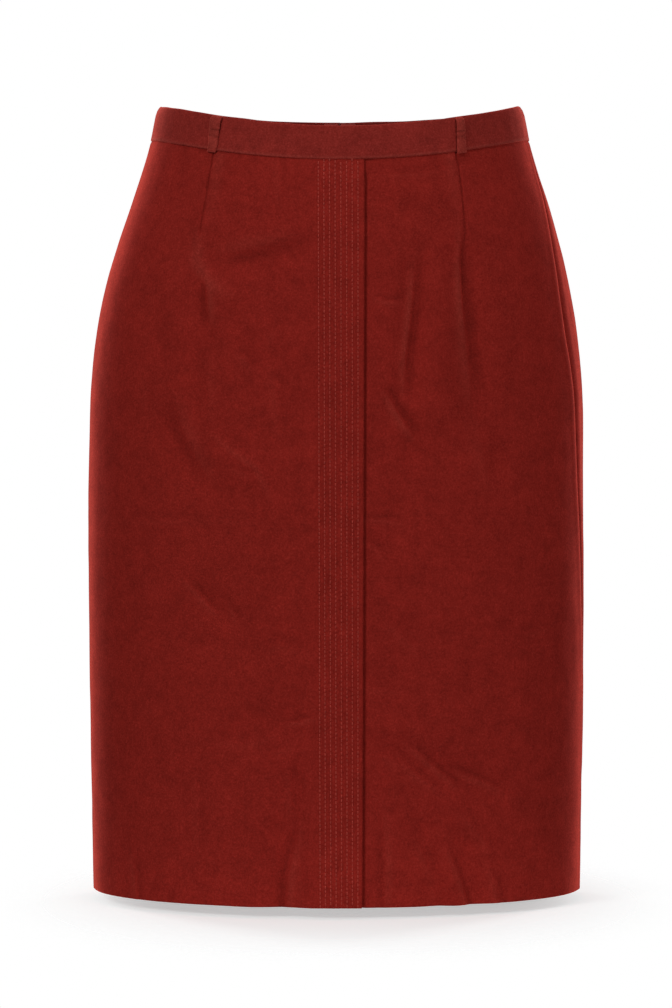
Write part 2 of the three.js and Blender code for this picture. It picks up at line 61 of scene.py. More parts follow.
# Driving sizes of the garment, as in the model
SKIRT_LENGTH = 578.5
BAND_HEIGHT = 27.5
SEAM_DIP_FRONT = 20.5
TOP_DIP_FRONT = 21.8
DIP_BACK = 4.5
CLOTH = 1.4
BAND_PROUD = 0.8
BAND_INSIDE = 1.8
HEM_TURNING = 38
HEM_STEP = 1.0
HEM_ROUND = 1.2  # height of the rounded lower edge
MEAN_RADIUS = 150  # turns an angle round the skirt into a distance, for noise
SIDE_RADIUS = 110  # turns a width at a side seam into an angle

# Half width, depth to the front and to the back, and how far the middle stands from x = 0
SECTION_Z = [28, 0, -20, -50, -80, -110, -145, -185, -235, -300, -400, -490, -580]
SECTIONS = {
    "half": [139.8, 145.5, 151.2, 161.3, 170.5, 178.4, 185.1, 189.4, 190.7, 191.6, 191.2, 190, 188.4],
    "front": [96, 100, 103.5, 108, 111.5, 113.5, 115, 116, 116, 116, 115, 114, 113],
    "back": [97.5, 100.5, 104.5, 112, 118, 124, 129, 132, 132, 130.5, 127, 123.5, 120],
    "shift": [0, 0, 0.1, 0.2, -0.6, -1.4, -2, -2.2, -2.8, -2.8, -2.7, -2.7, -2.5],
}
SEAM_LEFT_Z = [0, -40, -90, -140, -200, -255, -330, -420, -500]
SEAM_LEFT_DEGREES = [84, 78, 72, 69.5, 73, 75.5, 80, 85, 88]
SEAM_RIGHT_DEGREES = -90

# The front lap and its rows of topstitch
LAP_EDGE_TOP = 17.9
LAP_EDGE_HEM = 16.1
STITCH_ROWS = 8
STITCH_X = 13.1
STITCH_PITCH_TOP = 4.2
STITCH_PITCH_HEM = 4.0
LAP_RISE_FROM = -37  # the turning under the lap lifts its face between these two places
LAP_RISE_TO = -22
UNDERLAP_EDGE = -20
LAP_INNER = 0.6
LAP_WALL = 1.8
LAP_PRESS_DEPTH = 16
PRESSED_OUTER = 0.6
PRESSED_WALL = 1.3
PRESSED_UNDER = 1.1
PRESS_FADE = 10
CHANNEL_DEPTH = 0.5  # of the groove that each row of stitches pulls into the lap
CHANNEL_WIDTH = 0.75
CHANNEL_UNEVEN = 0.35
PUCKER = 0.16
GROOVE_DEPTH = 1.1  # of the groove in the cloth beside the lap's edge
GROOVE_WIDTH = 1.7
GROOVE_AWAY = 0.4

# The concealed zip
ZIP_TOP = 21
ZIP_END = -182
SLIT_HALF = 0.9
SLIT_HALF_SHUT = 0.02
SEAM_HALF = -0.12  # the two sides of a seam press a little into each other
TAPE_WIDTH = 12
TAPE_FACE = 2.25
TAPE_THICK = 0.7
SLIDER_Z = 14

# Main folds: depth (a ridge is negative), width and the path's x and z
MAIN_FOLDS_FRONT = [
    (3.4, 11, [(56, -104), (55, -150), (52, -191)]),
    (2.4, 10, [(38, -199), (57, -221), (56, -250)]),
    (-2, 17, [(75, -110), (74, -165), (68, -215)]),
    (3, 13, [(94, -95), (98, -142), (103, -214), (118, -250)]),
    (2.2, 14, [(-105, -84), (-102, -140), (-101, -204)]),
    (2, 14, [(-88, -93), (-58, -96), (-30, -88)]),
    (2.2, 12, [(-126, -214), (-114, -240), (-99, -263)]),
    (-1.6, 13, [(-88, -242), (-61, -255)]),
    (2.4, 11, [(-97, -347), (-80, -363)]),
    (2.2, 13, [(40, -458), (68, -474), (97, -489), (122, -494)]),
    (-1.5, 12, [(52, -482), (84, -503)]),
    (2.6, 12, [(63, -524), (70, -548), (76, -580)]),
    (2.6, 12, [(92, -530), (99, -556), (105, -582)]),
    (-2, 10, [(83, -540), (90, -582)]),
    (2, 16, [(-78, -449), (-35, -438)]),
    (2.6, 15, [(-31, -486), (-33, -530), (-41, -582)]),
    (-1.8, 16, [(-60, -505), (-68, -582)]),
]
MAIN_FOLDS_BACK = [
    (3, 17, [(-58, -96), (-22, -104), (18, -102), (60, -94)]),
    (-2, 15, [(-48, -122), (0, -130), (50, -120)]),
    (3, 16, [(-104, -262), (-70, -284), (-34, -292)]),
    (2.6, 15, [(98, -268), (66, -288), (36, -294)]),
    (2.6, 16, [(-72, -430), (-64, -500), (-70, -582)]),
    (-2, 17, [(-38, -450), (-36, -582)]),
    (2.8, 16, [(66, -440), (60, -510), (68, -582)]),
]
FOLD_FADE = (150, 178)  # the folds die out between these distances from the middle

# Narrower creases: depth, width, lean and path. With a lean of 1 the cloth swells on the
# right of a path that runs up, and on the left of one that runs down.
CREASES_FRONT = [
    (1.9, 2.7, 1, [(61, -92), (59, -125), (57, -147), (54, -172), (54, -204)]),
    (1.5, 3.0, 1, [(38, -188), (47, -205), (54, -216), (63, -228)]),
    (1.2, 2.4, 1, [(93, -66), (94, -106), (95, -125), (98, -150)]),
    (1.4, 4.6, 1, [(97, -92), (100, -130), (103, -165), (108, -206)]),
    (0.45, 6.0, 1, [(112, -204), (116, -230), (121, -252), (124, -272)]),
    (1.0, 1.9, 1, [(26, -121), (38, -124), (50, -124)]),
    (0.7, 1.8, 1, [(12, -285), (36, -286), (54, -289)]),
    (0.6, 1.8, 1, [(16, -301), (30, -306), (38, -318)]),
    (0.35, 2.0, 1, [(-196, -284), (-150, -288), (-100, -286), (-44, -288)]),
    (0.4, 2.2, 1, [(14, -409), (48, -414)]),
    (1.0, 2.2, 1, [(50, -450), (74, -471), (86, -481), (97, -490)]),
    (0.9, 2.4, 1, [(80, -471), (106, -481), (130, -492)]),
    (0.6, 2.6, 1, [(42, -457), (62, -477), (80, -490)]),
    (0.5, 3.0, 1, [(37, -460), (50, -471)]),
    (1.0, 2.2, 1, [(83, -530), (93, -552), (97, -563), (108, -610)]),
    (0.7, 3.0, 1, [(115, -541), (122, -560), (132, -610)]),
    (0.45, 3.4, 1, [(97, -504), (111, -526)]),
    (0.4, 3.2, 1, [(110, -520), (120, -541)]),
    (0.55, 2.8, 1, [(63, -524), (75, -556)]),
    (0.8, 3.0, -1, [(30, -500), (33, -541), (31, -610)]),
    (0.45, 2.6, 1, [(76, -548), (80, -610)]),
    (0.4, 4.0, 1, [(40, -360), (53, -372), (66, -384)]),
    (0.5, 2.2, 1, [(140, -373), (160, -369)]),
    (0.5, 2.0, 1, [(18, -30), (52, -28), (86, -25)]),
    (-0.8, 5.0, 0, [(-107, -68), (-107, -96), (-98, -111), (-78, -124)]),
    (1.3, 3.4, -1, [(-103, -108), (-102, -124), (-100, -146)]),
    (0.35, 4.0, -1, [(-103, -160), (-102, -218)]),
    (0.8, 5.0, -1, [(-96, -98), (-67, -93), (-30, -86)]),
    (0.75, 5.0, -1, [(-130, -196), (-122, -222), (-112, -244), (-98, -268)]),
    (-0.5, 2.2, 0, [(-96, -223), (-79, -237), (-59, -251), (-48, -277)]),
    (0.5, 2.0, 1, [(-79, -246), (-62, -254)]),
    (0.5, 3.0, 1, [(-74, -160), (-58, -174)]),
    (0.9, 2.2, 1, [(-114, -330), (-104, -340), (-94, -352), (-84, -360)]),
    (0.5, 2.2, 1, [(-77, -350), (-70, -368)]),
    (0.35, 3.4, 1, [(-62, -392), (-52, -380), (-43, -376), (-20, -385)]),
    (1.1, 1.8, 1, [(-41, -439), (-27, -436), (-12, -432)]),
    (0.4, 3.0, 1, [(-92, -450), (-70, -453), (-46, -444)]),
    (0.5, 2.4, 1, [(-49, -459), (-32, -454)]),
    (1.15, 3.4, -1, [(-32, -508), (-36, -534), (-40, -553), (-44, -615)]),
    (0.5, 2.2, 1, [(-32, -466), (-31, -540)]),
    (0.4, 2.2, 1, [(-23, -540), (-22, -610)]),
    (0.7, 2.2, 1, [(-153, -536), (-150, -566), (-149, -600)]),
    (0.3, 3.0, 1, [(-140, -180), (-138, -208)]),
    (0.4, 2.6, 1, [(-40, -148), (-50, -166)]),
    (0.4, 3.0, 1, [(-44, -172), (-38, -232)]),
    (0.35, 2.6, 1, [(-102, -476), (-100, -540)]),
    (0.4, 3.0, 1, [(-43, -12), (-40, -60)]),
]
CREASES_BACK = [
    (1.1, 3.2, 1, [(-66, -98), (-34, -104), (0, -105), (28, -101)]),
    (0.8, 2.8, 1, [(14, -112), (44, -108), (72, -98)]),
    (0.6, 3.6, 1, [(-84, -142), (-56, -152), (-30, -150)]),
    (0.9, 4.0, 1, [(100, -128), (106, -178), (104, -226)]),
    (0.9, 3.4, 1, [(-108, -258), (-82, -276), (-58, -286)]),
    (1.1, 2.6, 1, [(-94, -284), (-66, -300), (-36, -302)]),
    (0.9, 3.0, 1, [(104, -276), (74, -294), (40, -298)]),
    (0.6, 2.4, 1, [(92, -302), (64, -312), (46, -312)]),
    (0.6, 3.0, 1, [(-22, -330), (-52, -352), (-88, -358)]),
    (0.6, 2.6, -1, [(20, -344), (48, -366)]),
    (1.0, 3.8, -1, [(-74, -440), (-70, -500), (-76, -610)]),
    (0.8, 3.2, 1, [(58, -470), (64, -530), (72, -610)]),
    (0.6, 2.8, 1, [(112, -500), (124, -540), (130, -610)]),
    (0.5, 2.4, 1, [(-128, -452), (-108, -472), (-100, -490)]),
    (0.5, 2.2, 1, [(18, -420), (40, -428), (60, -424)]),
]

# The swell beside a crease, in shares of the crease's own depth and width
SWELL_RISE = 0.55
SWELL_AWAY = 1.7
SWELL_WIDTH = 1.2

# Darts: the side that the fold is pressed to, and the path from the waist seam to the point
DARTS_FRONT = [
    (-1, [(-94, -4), (-96, -17), (-99, -34), (-102, -53), (-106, -78)]),
    (1, [(87, -4), (87, -17), (89, -25), (91, -43), (93, -61), (95, -84)]),
]
DARTS_BACK = [
    (-1, [(-70, 4), (-73, -54), (-76, -112)]),
    (1, [(70, 4), (73, -54), (76, -112)]),
]
DART_REACH = 30
DART_LINE_DEPTH = 0.75
DART_LINE_WIDTH = 0.75
DART_FOLD_RISE = 0.38
DART_FOLD_AWAY = 5.5
DART_FOLD_WIDTH = 4.5
DART_PAINTED_SHADE = 1.8  # how much more painted shade and highlight a dart gets than a crease as deep
NOISE_CELLS = 64  # the noise repeats after this many cells
UNEVEN_FROM = (12, 60)  # the depths between which the cloth's unevenness sets in


def smooth(x, low, high):
    t = np.clip((np.asarray(x, float) - low) / (high - low), 0, 1)
    return t * t * (3 - 2 * t)


def mix(a, b, t):
    return a + (b - a) * t


def along(heights, values, z):
    """The value at each height z on a smooth curve through a table that runs downwards."""
    h = np.array(heights, float)
    v = np.array(values, float)
    z = np.clip(np.asarray(z, float), h[-1], h[0])
    slope = np.empty_like(v)
    slope[1:-1] = (v[2:] - v[:-2]) / (h[2:] - h[:-2])
    slope[0] = (v[1] - v[0]) / (h[1] - h[0])
    slope[-1] = (v[-1] - v[-2]) / (h[-1] - h[-2])
    i = np.clip(np.searchsorted(-h, -z, side="right") - 1, 0, len(h) - 2)
    span = h[i + 1] - h[i]
    t = (z - h[i]) / span
    start = (1 + 2 * t) * (1 - t) ** 2 * v[i] + t * (1 - t) ** 2 * span * slope[i]
    end = t * t * (3 - 2 * t) * v[i + 1] + t * t * (t - 1) * span * slope[i + 1]
    return start + end


def section(key, z):
    return along(SECTION_Z, SECTIONS[key], z)


def distance_to(path, x, z):
    nearest = np.full(np.shape(x), np.inf)
    for (ax, az), (bx, bz) in zip(path, path[1:]):
        t = ((x - ax) * (bx - ax) + (z - az) * (bz - az)) / ((bx - ax) ** 2 + (bz - az) ** 2)
        t = np.clip(t, 0, 1)
        nearest = np.minimum(nearest, np.hypot(x - mix(ax, bx, t), z - mix(az, bz, t)))
    return nearest


def beside(path, x, reach):
    """Whether any of these x is within reach of the path."""
    xs = [point[0] for point in path]
    return min(xs) - reach < x.max() and max(xs) + reach > x.min()


def by_face(is_front, fronts, backs):
    """Each entry of two tables, with where the cloth is on its face."""
    for entry in fronts:
        yield is_front, *entry
    for entry in backs:
        yield ~is_front, *entry


def fold_relief(is_front, x, z):
    """How far the folds move the cloth out."""
    out = np.zeros(np.shape(x))
    for on_face, depth, width, path in by_face(is_front, MAIN_FOLDS_FRONT, MAIN_FOLDS_BACK):
        if not beside(path, x, 3 * width):
            continue
        u = distance_to(path, x, z) / width
        out -= on_face * depth * (1 - 0.5 * u * u) * np.exp(-u * u)
    return out * (1 - smooth(np.abs(x), *FOLD_FADE))


def path_place(path, x, z):
    """The share along a path of the nearest point, and the distance to it, signed by its side."""
    points = np.array(path, float)
    lengths = np.hypot(*np.diff(points, axis=0).T)
    before = np.concatenate([[0], np.cumsum(lengths)])
    nearest = np.full(np.shape(x), np.inf)
    share = np.zeros(np.shape(x))
    signed = np.full(np.shape(x), 1e3)
    for (ax, az), (bx, bz), length, start in zip(points, points[1:], lengths, before):
        run = (x - ax) * (bx - ax) + (z - az) * (bz - az)
        t = np.clip(run / length**2, 0, 1)
        away = np.hypot(x - mix(ax, bx, t), z - mix(az, bz, t))
        turn = (bx - ax) * (z - az) - (bz - az) * (x - ax)
        closer = away < nearest
        nearest = np.where(closer, away, nearest)
        share = np.where(closer, (start + t * length) / before[-1], share)
        signed = np.where(closer, np.where(turn < 0, -away, away), signed)
    return share, signed


def crease_relief(is_front, x, z):
    """Soft troughs with a swell on one side, which die out at both ends."""
    out = np.zeros(np.shape(x))
    for on_face, depth, width, lean, path in by_face(is_front, CREASES_FRONT, CREASES_BACK):
        if not beside(path, x, 4 * width):
            continue
        share, across = path_place(path, x, z)
        u = across / width
        swell = SWELL_RISE * abs(lean) * np.exp(-(((u + SWELL_AWAY * lean) / SWELL_WIDTH) ** 2))
        shape = -np.exp(-u * u) + swell
        out += on_face * depth * shape * np.sin(math.pi * share) ** 0.8
    return out


def dart_relief(is_front, x, z):
    """The stitched line of a dart, with its fold pressed to one side under the cloth."""
    out = np.zeros(np.shape(x))
    for on_face, side, path in by_face(is_front, DARTS_FRONT, DARTS_BACK):
        if not beside(path, x, DART_REACH):
            continue
        share, across = path_place(path, x, z)
        across = across * side
        line = -DART_LINE_DEPTH * np.exp(-((across / DART_LINE_WIDTH) ** 2))
        fold = DART_FOLD_RISE * np.exp(-(((across + DART_FOLD_AWAY) / DART_FOLD_WIDTH) ** 2))
        out += on_face * (line * (1 - smooth(share, 0.9, 1)) + fold * (1 - share))
    return out


def soft_noise(u, v, cell, seed):
    """Smooth seeded noise between about -1 and 1 on a plane, with cells of this size."""
    grid = np.random.default_rng(seed).uniform(-1, 1, (NOISE_CELLS, NOISE_CELLS))
    gu = np.asarray(u, float) / cell + 1000
    gv = np.asarray(v, float) / cell + 1000
    iu, iv = np.floor(gu).astype(int), np.floor(gv).astype(int)
    fu, fv = gu - iu, gv - iv
    fu = fu * fu * (3 - 2 * fu)
    fv = fv * fv * (3 - 2 * fv)
    corner = lambda a, b: grid[(iu + a) % NOISE_CELLS, (iv + b) % NOISE_CELLS]
    top = mix(corner(0, 0), corner(1, 0), fu)
    bottom = mix(corner(0, 1), corner(1, 1), fu)
    return mix(top, bottom, fv)


def depth_at(angle, z):
    """How deep the body's section is on the side that an angle is on."""
    return np.where(np.cos(angle) > 0, section("front", z), section("back", z))


def body_point(angle, z, out):
    """The point of the body's surface at an angle and height, moved out along its normal."""
    angle, z, out = np.broadcast_arrays(*(np.asarray(v, float) for v in (angle, z, out)))
    half, depth = section("half", z), depth_at(angle, z)
    x = half * np.sin(angle)
    y = -depth * np.cos(angle)
    nx, ny = x / half**2, y / depth**2
    length = np.hypot(nx, ny)
    return np.stack([x + section("shift", z) + nx / length * out, y + ny / length * out, z], axis=-1)


def relief_at(angle, z, fine=True):
    """How far the cloth stands out by its folds, and the creases' and darts' share of it, which is
    painted into the colour as shade in troughs and highlight on swells.
    """
    angle, z = np.broadcast_arrays(np.asarray(angle, float), np.asarray(z, float))
    front = np.cos(angle) > 0
    x = section("half", z) * np.sin(angle)
    broad = fold_relief(front, x, z)
    if not fine:
        return broad, 0 * broad
    creases, darts = crease_relief(front, x, z), dart_relief(front, x, z)
    return broad + undulation(angle, z) + creases + darts, creases + DART_PAINTED_SHADE * darts


def place(angle, z, offset, fine=True):
    """Points of the cloth, with the offset measured out of the body's surface."""
    return body_point(angle, z, offset + relief_at(angle, z, fine)[0])


def undulation(angle, z):
    """Low unevenness of hanging cloth, which dies out at the waist seam."""
    s = angle * MEAN_RADIUS
    wave = 0.34 * soft_noise(s, z * 0.6, 34, 11) + 0.16 * soft_noise(s, z, 15, 12)
    return wave * smooth(-z, *UNEVEN_FROM)


def angle_of(face, x, z):
    turn = np.arcsin(np.clip((x - section("shift", z)) / section("half", z), -1, 1))
    if face == "front":
        return turn
    return np.where(turn < 0, -math.pi - turn, math.pi - turn)


def dip_at(angle, front_dip):
    c = np.cos(angle)
    return np.where(c > 0, front_dip, DIP_BACK) * c * c


def seam_height(angle):
    return -dip_at(angle, SEAM_DIP_FRONT)


# How far the worn band's top edge has sunk, by the angle round the skirt in degrees
SUNK_AT = [-180, -66, -50, -30, 0, 35, 50, 180]
SUNK = [0.8, 1.3, 0.4, 0.0, 0.8, 0.7, 1.4, 0.8]


def top_height(angle):
    return BAND_HEIGHT - dip_at(angle, TOP_DIP_FRONT) - np.interp(np.degrees(angle), SUNK_AT, SUNK)


def new_object(name, data):
    obj = bpy.data.objects.new(name, data)
    bpy.context.scene.collection.objects.link(obj)
    return obj


def new_mesh(name, points, faces, material, slot="skirt_cloth"):
    """A smooth object of the skirt's body, made from points in millimetres."""
    data = bpy.data.meshes.new(name)
    data.from_pydata((np.asarray(points) * MM).tolist(), [], faces)
    data.validate()
    data.update()
    shape = bmesh.new()
    shape.from_mesh(data)
    if shape.calc_volume(signed=True) < 0:
        data.flip_normals()
    shape.free()
    data.shade_smooth()
    obj = new_object(name, data)
    data.materials.append(material)
    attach(obj, BODY)
    return obj


def closed_loft(rings):
    """Points and faces of a solid lofted through rings of equal length. Each ring's first half
    pairs with its second half reversed, so that the two ends close with a strip of quads."""
    count, size = rings.shape[0], rings.shape[1]
    points = rings.reshape(-1, 3)
    faces = []
    for j in range(count - 1):
        a, b = j * size, (j + 1) * size
        for i in range(size):
            k = (i + 1) % size
            faces.append((a + i, a + k, b + k, b + i))
    for j, flip in ((0, False), (count - 1, True)):
        a = j * size
        for i in range(size // 2 - 1):
            quad = (a + i, a + size - 1 - i, a + size - 2 - i, a + i + 1)
            faces.append(quad[::-1] if flip else quad)
    return points, faces


# Rows and columns of the panels

ROW_STEP = 2.7
COLUMN_STEP = 2.0
BACK_COLUMN_STEP = 3.0
DART_COLUMN_STEP = 0.8
TOP_ROWS = [-3.0, -1.2, -0.2, 0.5, 1.2, 2.2, 3.5, 5.5, 8, 11]  # depths below the waist seam
TURNING_ROWS = 12
SEAM_COLUMNS = [1.2, 1.8, 2.6, 3.6, 5, 7, 9.5]  # distances from a seam
TUCK = 0.65  # how far the cloth steps in under the band
TUCK_FADE = 1.3
TUCK_BACK = 0.9  # the share of the step that a panel's back takes
TUCK_UNDER = (0.6, 0.7)  # how much more the underlap's face and back step in
ROUND_PHASES = (84, 67, 45, 22, 0)  # degrees, for the rounded edge of a layer
HEM_PHASES = (25, 50, 75)
SEAM_GROOVE_DEPTH = 0.5
SEAM_GROOVE_WIDTH = 1.9
SEAM_SWELL = 0.45
SEAM_SWELL_AWAY = 8
SEAM_SWELL_WIDTH = 5.0
# The plain part of each panel: its width, and where along it the dart's closer columns lie
PLAIN_PARTS = {
    "front_right": (216, (136, 150)),
    "front_left": (183, (51, 68)),
    "back_left": (270, (187, 210)),
    "back_right": (252, (65, 84)),
}


def row_depths():
    """Depths below the waist seam, from inside the band down to where the hem turns under."""
    hem_top = SKIRT_LENGTH - HEM_TURNING
    steps = round((hem_top - TOP_ROWS[-1]) / ROW_STEP)
    body = np.linspace(TOP_ROWS[-1], hem_top, steps + 1)[1:]
    turning = np.linspace(hem_top + 0.8, SKIRT_LENGTH - HEM_ROUND, TURNING_ROWS)
    return np.concatenate([TOP_ROWS, body, turning])


def rim_share(d, half_thick):
    """How much of its thickness a rounded edge has at this distance from its end."""
    t = np.clip((half_thick - d) / half_thick, 0, 1)
    return np.sqrt(1 - t * t)


def rim_steps(half_thick):
    return [half_thick * (1 - math.sin(math.radians(p))) for p in ROUND_PHASES]


PAINTED_LIGHT_ATTRIBUTE = "nap"  # painted shade and highlight in the cloth's colour, stored per point: below 0 darker, above 0 lighter


def store_painted_light(piece, values):
    stored = piece.data.attributes.new(PAINTED_LIGHT_ATTRIBUTE, "FLOAT", "POINT")
    stored.data.foreach_set("value", values.reshape(-1).astype(np.float32))


def panel_piece(name, columns, material):
    """Each column has an angle, a face and a back, as functions of the height, and a share of the
    hem's turning and of its own thickness."""
    depths = row_depths()
    share = np.clip(depths / SKIRT_LENGTH, 0, 1)
    above = np.clip(-depths, 0, None)
    tucked = TUCK * np.exp(-(np.clip(depths, 0, None) / TUCK_FADE) ** 2)
    turned = depths > SKIRT_LENGTH - HEM_TURNING
    phases = np.radians(HEM_PHASES)
    rings, nap = [], []
    for line in columns:
        z = -share * SKIRT_LENGTH
        for _ in range(4):  # the seam's height depends on the angle, and the angle on the height
            angle = line["angle"](z)
            z = mix(seam_height(angle), -SKIRT_LENGTH, share) + above
        under = line["under"]
        face = line["face"](z) - tucked * (1 + TUCK_UNDER[0] * under)
        back = line["back"](z) - tucked * (TUCK_BACK + TUCK_UNDER[1] * under)
        back = back - HEM_STEP * turned * line["turning"](z)
        middle = (face + back) / 2
        thin = line["thin"]
        face, back = middle + (face - middle) * thin, middle + (back - middle) * thin
        radius = (face[-1] - back[-1]) / 2
        centre = (face[-1] + back[-1]) / 2
        hem_z = -SKIRT_LENGTH + HEM_ROUND * (1 - np.sin(phases))
        hem_angle = line["angle"](hem_z)
        relief, crease_shading = relief_at(angle, z)
        hem_relief, hem_crease_shading = relief_at(hem_angle, hem_z)
        outer = body_point(angle, z, face + relief)
        inner = body_point(angle, z, back + relief)
        outer_hem = body_point(hem_angle, hem_z, centre + hem_relief + radius * np.cos(phases))
        inner_hem = body_point(hem_angle, hem_z, centre + hem_relief - radius * np.cos(phases))
        rings.append(np.concatenate([outer, outer_hem, inner_hem[::-1], inner[::-1]]))
        # painted shade in the troughs of creases and darts and painted highlight on their swells; the
        # inner face gets the opposite
        painted_light = np.concatenate([crease_shading, hem_crease_shading])
        nap.append(np.concatenate([painted_light, -painted_light[::-1]]))
    points, faces = closed_loft(np.array(rings))
    piece = new_mesh(name + "_cloth", points, faces, material)
    store_painted_light(piece, np.array(nap))
    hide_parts(name)
    return piece


def column(angle, face, back, turning=lambda z: 1.0, thin=1.0, under=0.0):
    return {"angle": angle, "face": face, "back": back, "turning": turning, "thin": thin, "under": under}


def seam_relief(d):
    """The groove of a side seam and the low swell of the turnings pressed open beside it."""
    swell = SEAM_SWELL * np.exp(-((d - SEAM_SWELL_AWAY) / SEAM_SWELL_WIDTH) ** 2)
    return swell - SEAM_GROOVE_DEPTH * np.exp(-(d / SEAM_GROOVE_WIDTH) ** 2)


def plain_columns(name, from_angle, to_angle, from_seam=True, to_seam=True, step=COLUMN_STEP):
    """Columns between two edges, closer together at an edge that is a seam and along a dart."""
    width, dart = PLAIN_PARTS[name]
    close = rim_steps(CLOTH / 2) + SEAM_COLUMNS
    near = np.array(close if from_seam else [0.0])
    far = width - np.array((close if to_seam else [0.0])[::-1])
    stops = [(near[-1], dart[0], step), (dart[0], dart[1], DART_COLUMN_STEP), (dart[1], far[0], step)]
    between = [np.linspace(a, b, round((b - a) / s) + 1)[1:] for a, b, s in stops]
    places = np.concatenate([near, *between, far[1:]])
    columns = []
    for d in places:
        thin = 1.0
        raised = 0.0
        if from_seam:
            thin = min(thin, float(rim_share(d, CLOTH / 2)))
            raised += float(seam_relief(d))
        if to_seam:
            thin = min(thin, float(rim_share(width - d, CLOTH / 2)))
            raised += float(seam_relief(width - d))
        share = d / width
        columns.append(column(
            lambda z, s=share: mix(from_angle(z), to_angle(z), s),
            lambda z, r=raised: r + 0 * z, lambda z, r=raised: r - CLOTH + 0 * z, thin=thin))
    return columns


def side_seam(side, z):
    if side == "left":
        return np.radians(along(SEAM_LEFT_Z, SEAM_LEFT_DEGREES, z))
    return np.full(np.shape(z), math.radians(SEAM_RIGHT_DEGREES))


def lap_edge(z):
    return mix(LAP_EDGE_TOP, LAP_EDGE_HEM, -z / SKIRT_LENGTH)


def stitch_pitch(z):
    return mix(STITCH_PITCH_TOP, STITCH_PITCH_HEM, -z / SKIRT_LENGTH)


def stitch_x(row, z):
    """x of a place in the lap, counted in rows of topstitch: 7 is the row nearest the edge."""
    return STITCH_X - (STITCH_ROWS - 1 - row) * stitch_pitch(z)


def lap_fullness(x, z):
    return smooth(seam_height(angle_of("front", x, z)) - z, 0, LAP_PRESS_DEPTH)


def lap_face(x, z, row):
    """How far the lap's face stands out at a place that is given by x and by its row."""
    risen = smooth(x, LAP_RISE_FROM, LAP_RISE_TO)
    full = lap_fullness(x, z)
    face = mix(0, mix(PRESSED_OUTER, LAP_INNER + LAP_WALL, full), risen)
    if row is None:
        return face
    off_row = (row - np.round(np.clip(row, 0, STITCH_ROWS - 1))) * stitch_pitch(z)
    pull = 1 + CHANNEL_UNEVEN * soft_noise(z, row * 40, 9, 21)
    channel = CHANNEL_DEPTH * pull * np.exp(-(off_row / CHANNEL_WIDTH) ** 2)
    pucker = PUCKER * soft_noise(row * 5, z, 5.5, 22) * smooth(row, -0.5, 0.3)
    return face - channel * (0.35 + 0.65 * full) + pucker * full


def lap_back(x, z):
    risen = smooth(x, LAP_RISE_FROM, LAP_RISE_TO)
    full = lap_fullness(x, z)
    return mix(-CLOTH, mix(PRESSED_OUTER - PRESSED_WALL, LAP_INNER, full), risen)


def lap_column(x_at, row, thin=1.0):
    return column(
        lambda z: angle_of("front", x_at(z), z),
        lambda z: lap_face(x_at(z), z, row), lambda z: lap_back(x_at(z), z),
        lambda z: 1 - smooth(x_at(z), LAP_RISE_FROM, LAP_RISE_TO), thin)


CLIMB_COLUMNS = 10
COLUMNS_A_ROW = 7
EDGE_SHARES = (0.1, 0.2, 0.35, 0.55, 0.8)  # between the last row of topstitch and the lap's edge


def front_right(material):
    begin = lambda z: side_seam("right", z) + SEAM_HALF / SIDE_RADIUS
    climb = lambda z: angle_of("front", LAP_RISE_FROM, z)
    columns = plain_columns("front_right", begin, climb, to_seam=False)
    before, last = -1.0, STITCH_ROWS - 1
    for k in range(1, CLIMB_COLUMNS):
        columns.append(lap_column(
            lambda z, s=k / CLIMB_COLUMNS: mix(LAP_RISE_FROM, stitch_x(before, z), s), None))
    for row in np.arange(before, last + 0.01, 1 / COLUMNS_A_ROW):
        columns.append(lap_column(lambda z, r=row: stitch_x(r, z), row))
    half_thick = LAP_WALL / 2
    for share in EDGE_SHARES:
        row = last + share
        columns.append(lap_column(
            lambda z, s=share: mix(STITCH_X, lap_edge(z) - half_thick, s), row))
    for d in rim_steps(half_thick)[::-1]:
        columns.append(lap_column(
            lambda z, e=d: lap_edge(z) - e, last + 1, float(rim_share(d, half_thick))))
    return panel_piece("front_right", columns, material)


def under_column(x_at, thin=1.0, under=1.0):
    """A column of the cloth under and beside the lap, pushed in where the lap lies on it."""
    def pushed(z):
        x, edge = x_at(z), lap_edge(z)
        full = lap_fullness(x, z)
        covered = 1 - smooth(x, edge, edge + PRESS_FADE)
        groove = GROOVE_DEPTH * np.exp(-((x - edge - GROOVE_AWAY) / GROOVE_WIDTH) ** 2)
        return PRESSED_UNDER * (1 - full) * covered + groove * full

    return column(
        lambda z: angle_of("front", x_at(z), z),
        lambda z: -pushed(z), lambda z: -CLOTH - pushed(z), thin=thin, under=under)


UNDERLAP_COLUMNS = 14
BESIDE_LAP = (-1, -0.3, 0.4, 1.1, 2, 3, 4.2, 5.6, 7.4, 9.6, 12, 15, 18)  # distances from its edge
BESIDE_LAP_STEP = 3


def front_left(material):
    half_thick = CLOTH / 2
    columns = []
    for d in rim_steps(half_thick):
        columns.append(under_column(lambda z, e=d: UNDERLAP_EDGE + e, float(rim_share(d, half_thick))))
    start = UNDERLAP_EDGE + half_thick
    for k in range(1, UNDERLAP_COLUMNS):
        columns.append(under_column(
            lambda z, s=k / UNDERLAP_COLUMNS: mix(start, lap_edge(z) + BESIDE_LAP[0], s)))
    for d in BESIDE_LAP:
        columns.append(under_column(
            lambda z, e=d: lap_edge(z) + e, under=float(1 - smooth(d, 0, 9))))
    begin = lambda z: angle_of("front", lap_edge(z) + BESIDE_LAP[-1] + BESIDE_LAP_STEP, z)
    end = lambda z: side_seam("left", z) - SEAM_HALF / SIDE_RADIUS
    columns += plain_columns("front_left", begin, end, from_seam=False)
    return panel_piece("front_left", columns, material)


def back_half_gap(z):
    """Half of the opening between the two sides of the centre back seam."""
    share = smooth(z, SLIDER_Z - 30, SLIDER_Z - 6)
    zipped = mix(SLIT_HALF_SHUT, SLIT_HALF, share)
    return mix(SEAM_HALF, zipped, smooth(z, ZIP_END - 6, ZIP_END + 4))


